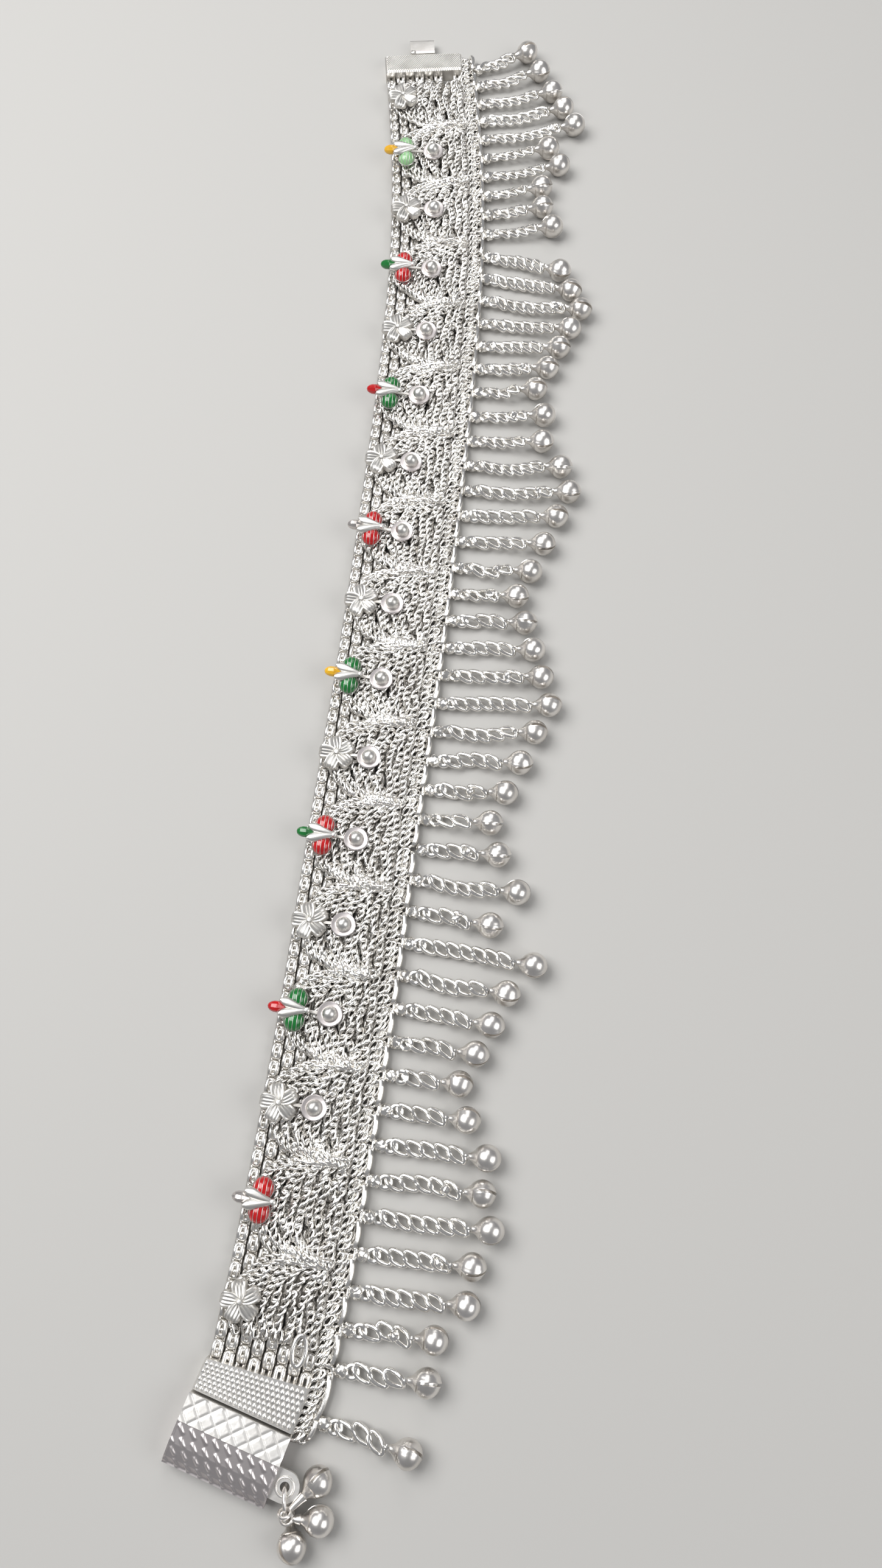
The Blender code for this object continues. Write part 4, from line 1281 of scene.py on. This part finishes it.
def clasp_box():
    """Hollow embossed box with a slot for the tongue, and a tab with an eye at its side."""
    hollow = loft([[place(BOX_START - out, across, z) for out, z in box_profile(BOX_WALL)]
                   for across in (BAR_LEFT + BOX_WALL, BAR_RIGHT - BOX_WALL)])
    half = TONGUE_WIDTH / 2 + RUNNING
    front = BOX_START - BOX_LENGTH
    slot = block((front - GAP, front + 2 * BOX_WALL), (BAND_MIDDLE - half, BAND_MIDDLE + half),
                 (BOX_WALL, BOX_WALL + LEAF_SPRING + RUNNING))
    shell = plain(carved(embossed_box(), [hollow, slot]), "box_silver")
    # Faces past the ridge take the darker mauve silver: painted shade and painted reflection on the slope
    shell.materials.append(FINISHES["painted_shade_silver"])
    ahead, aside = axes_at(EYE_ALONG)
    ridge = place(BOX_START - BOX_LENGTH * BOX_RIDGE_PLACE, 0, 0)
    for face in shell.polygons:
        if (face.center - ridge).dot(ahead) < 0:
            face.material_index = 1
    centre = place(EYE_ALONG, EYE_ACROSS, 0)
    half = TAB_WIDTH / 2 + TAB_FLARE
    root = BAR_RIGHT - EYE_ACROSS - BOX_WALL / 2
    outline = [(-half, root), (half, root)]
    for degrees in range(-90, 91, 15):
        angle = radians(degrees)
        outline.append((half * -sin(angle), half * cos(angle)))
    tab = loft([[centre + ahead * u + aside * v + UP * z for u, v in outline]
                for z in (TAB_TOP - TAB_THICK, TAB_TOP - TAB_SINK)])
    levels = [(TAB_TOP - 2 * TAB_THICK, EYE_RADIUS), (TAB_TOP + TAB_THICK, EYE_RADIUS)]
    eye = loft(rings_on(centre, UP, ahead, aside, levels, 20))
    rim = torus(centre + UP * (TAB_TOP - TAB_SINK), ahead, aside, EYE_RIM_RADIUS, EYE_RIM_WIRE)
    piece("clasp_box_embossed", [
        shell, plain(carved(tab, [eye]), "box_silver"), plain(rim, "box_silver")], "clasp_box")


def shank_bell(start, bell, tangent, tilt):
    """Bell with a wire loop round the clasp ring and a shank between them."""
    line = (bell - start).normalized()
    rim = (line - tangent * line.dot(tangent)).normalized()
    loop_radius = RING_WIRE + GAP + LOOP_WIRE
    loop = torus(start, rim, tangent.cross(rim), loop_radius, LOOP_WIRE, 20, 8)
    foot = start + rim * loop_radius
    line = (bell - foot).normalized()
    across = line.cross(UP).normalized()
    reach = (bell - foot).length
    levels = [(0.0, LOOP_WIRE * 1.5), (reach - BELL_RADIUS * 1.5, BELL_NECK * 0.8),
              (reach - BELL_RADIUS * 1.2, BELL_NECK)]
    shank = loft(rings_on(foot, line, across, across.cross(line), levels, 12))
    return bell_meshes(bell, line, tilt)[:2] + [plain(loop, "bell_silver"), plain(shank, "bell_silver")]


def clasp_ring():
    """Jump ring on edge through the tab's eye, and the bells that hang from it."""
    ahead, aside = axes_at(EYE_ALONG)
    out = aside * sin(RING_TURN) - ahead * cos(RING_TURN)
    eye = place(EYE_ALONG, EYE_ACROSS, TAB_TOP - TAB_THICK / 2)
    height = RING_RADIUS + RING_WIRE
    tilt = asin((eye.z - height) / RING_RADIUS)
    centre = eye + out * (RING_RADIUS * cos(tilt)) - UP * (eye.z - height)
    wire = torus(centre, out, UP, RING_RADIUS, RING_WIRE, 40, 10)
    piece("clasp_ring_wire", [plain(wire, "bell_silver")], "clasp_ring")
    for number, (turn, heading, shank) in enumerate(CLASP_BELLS):
        turn, heading = radians(turn), radians(heading)
        start = centre + out * (RING_RADIUS * cos(turn)) + UP * (RING_RADIUS * sin(turn))
        tangent = UP * cos(turn) - out * sin(turn)
        line = aside * cos(heading) + ahead * sin(heading)
        fall = start.z - BELL_RADIUS
        bell = start + line * sqrt((shank + BELL_RADIUS) ** 2 - fall ** 2) - UP * fall
        bell.y = max(bell.y, cad_box[0][1] + BELL_RADIUS)
        piece(f"clasp_bell_{number + 1}_ball", shank_bell(start, bell, tangent, 0.4 + number),
              f"clasp_bell_{number + 1}")


# Floor, light and camera

def floor():
    mesh = bpy.data.meshes.new("floor")
    corners = [(x * FLOOR_REACH, y * FLOOR_REACH, 0) for x, y in ((-1, -1), (1, -1), (1, 1), (-1, 1))]
    mesh.from_pydata(corners, [], [(0, 1, 2, 3)])
    finish, tree, shader = new_finish("pale_floor")
    set_inputs(tree, shader, {"Base Color": (0.50, 0.49, 0.47, 1), "Roughness": 0.75})
    mesh.materials.append(finish)
    show("floor", mesh)


def softbox(name, spot, size, power):
    """Area light that faces the middle of the anklet."""
    light = bpy.data.lights.new(name, "AREA")
    light.shape = "RECTANGLE"
    light.size, light.size_y = size
    light.energy = power
    result = show(name, light)
    result.location = spot
    result.rotation_euler = (LIGHTS_FACE - Vector(spot)).to_track_quat("-Z", "Y").to_euler()


def studio():
    world = bpy.data.worlds.new("studio")
    world.use_nodes = True
    set_inputs(world.node_tree, world.node_tree.nodes["Background"], {
        "Color": (0.80, 0.81, 0.84, 1), "Strength": 0.32})
    bpy.context.scene.world = world
    bpy.context.scene.view_settings.view_transform = "Standard"
    softbox("key", (-0.28, 0.25, 0.50), (0.45, 0.40), 3.6)
    softbox("fill", (0.45, -0.05, 0.40), (0.40, 0.35), 1.1)
    softbox("top", (0.08, 0.62, 0.50), (0.30, 0.50), 0.9)


def camera():
    data = bpy.data.cameras.new("camera")
    data.sensor_width = SENSOR
    data.lens = FOCAL_PIXELS / IMAGE_HEIGHT * SENSOR
    data.clip_start = 0.005
    result = show("camera", data)
    result.location = CAMERA_PLACE
    result.rotation_euler = (CAMERA_TILT, 0, 0)
    bpy.context.scene.camera = result


camera()
studio()
floor()
woven_band()
for section in range(FAN_COUNT):
    fan(section)
    motif(section)
for section, first in enumerate(range(0, DROPS, DROPS_TO_SECTION)):
    fringe(section, first, min(first + DROPS_TO_SECTION, DROPS))
end_bar()
tongue_bar()
tongue()
clasp_box()
clasp_ring()
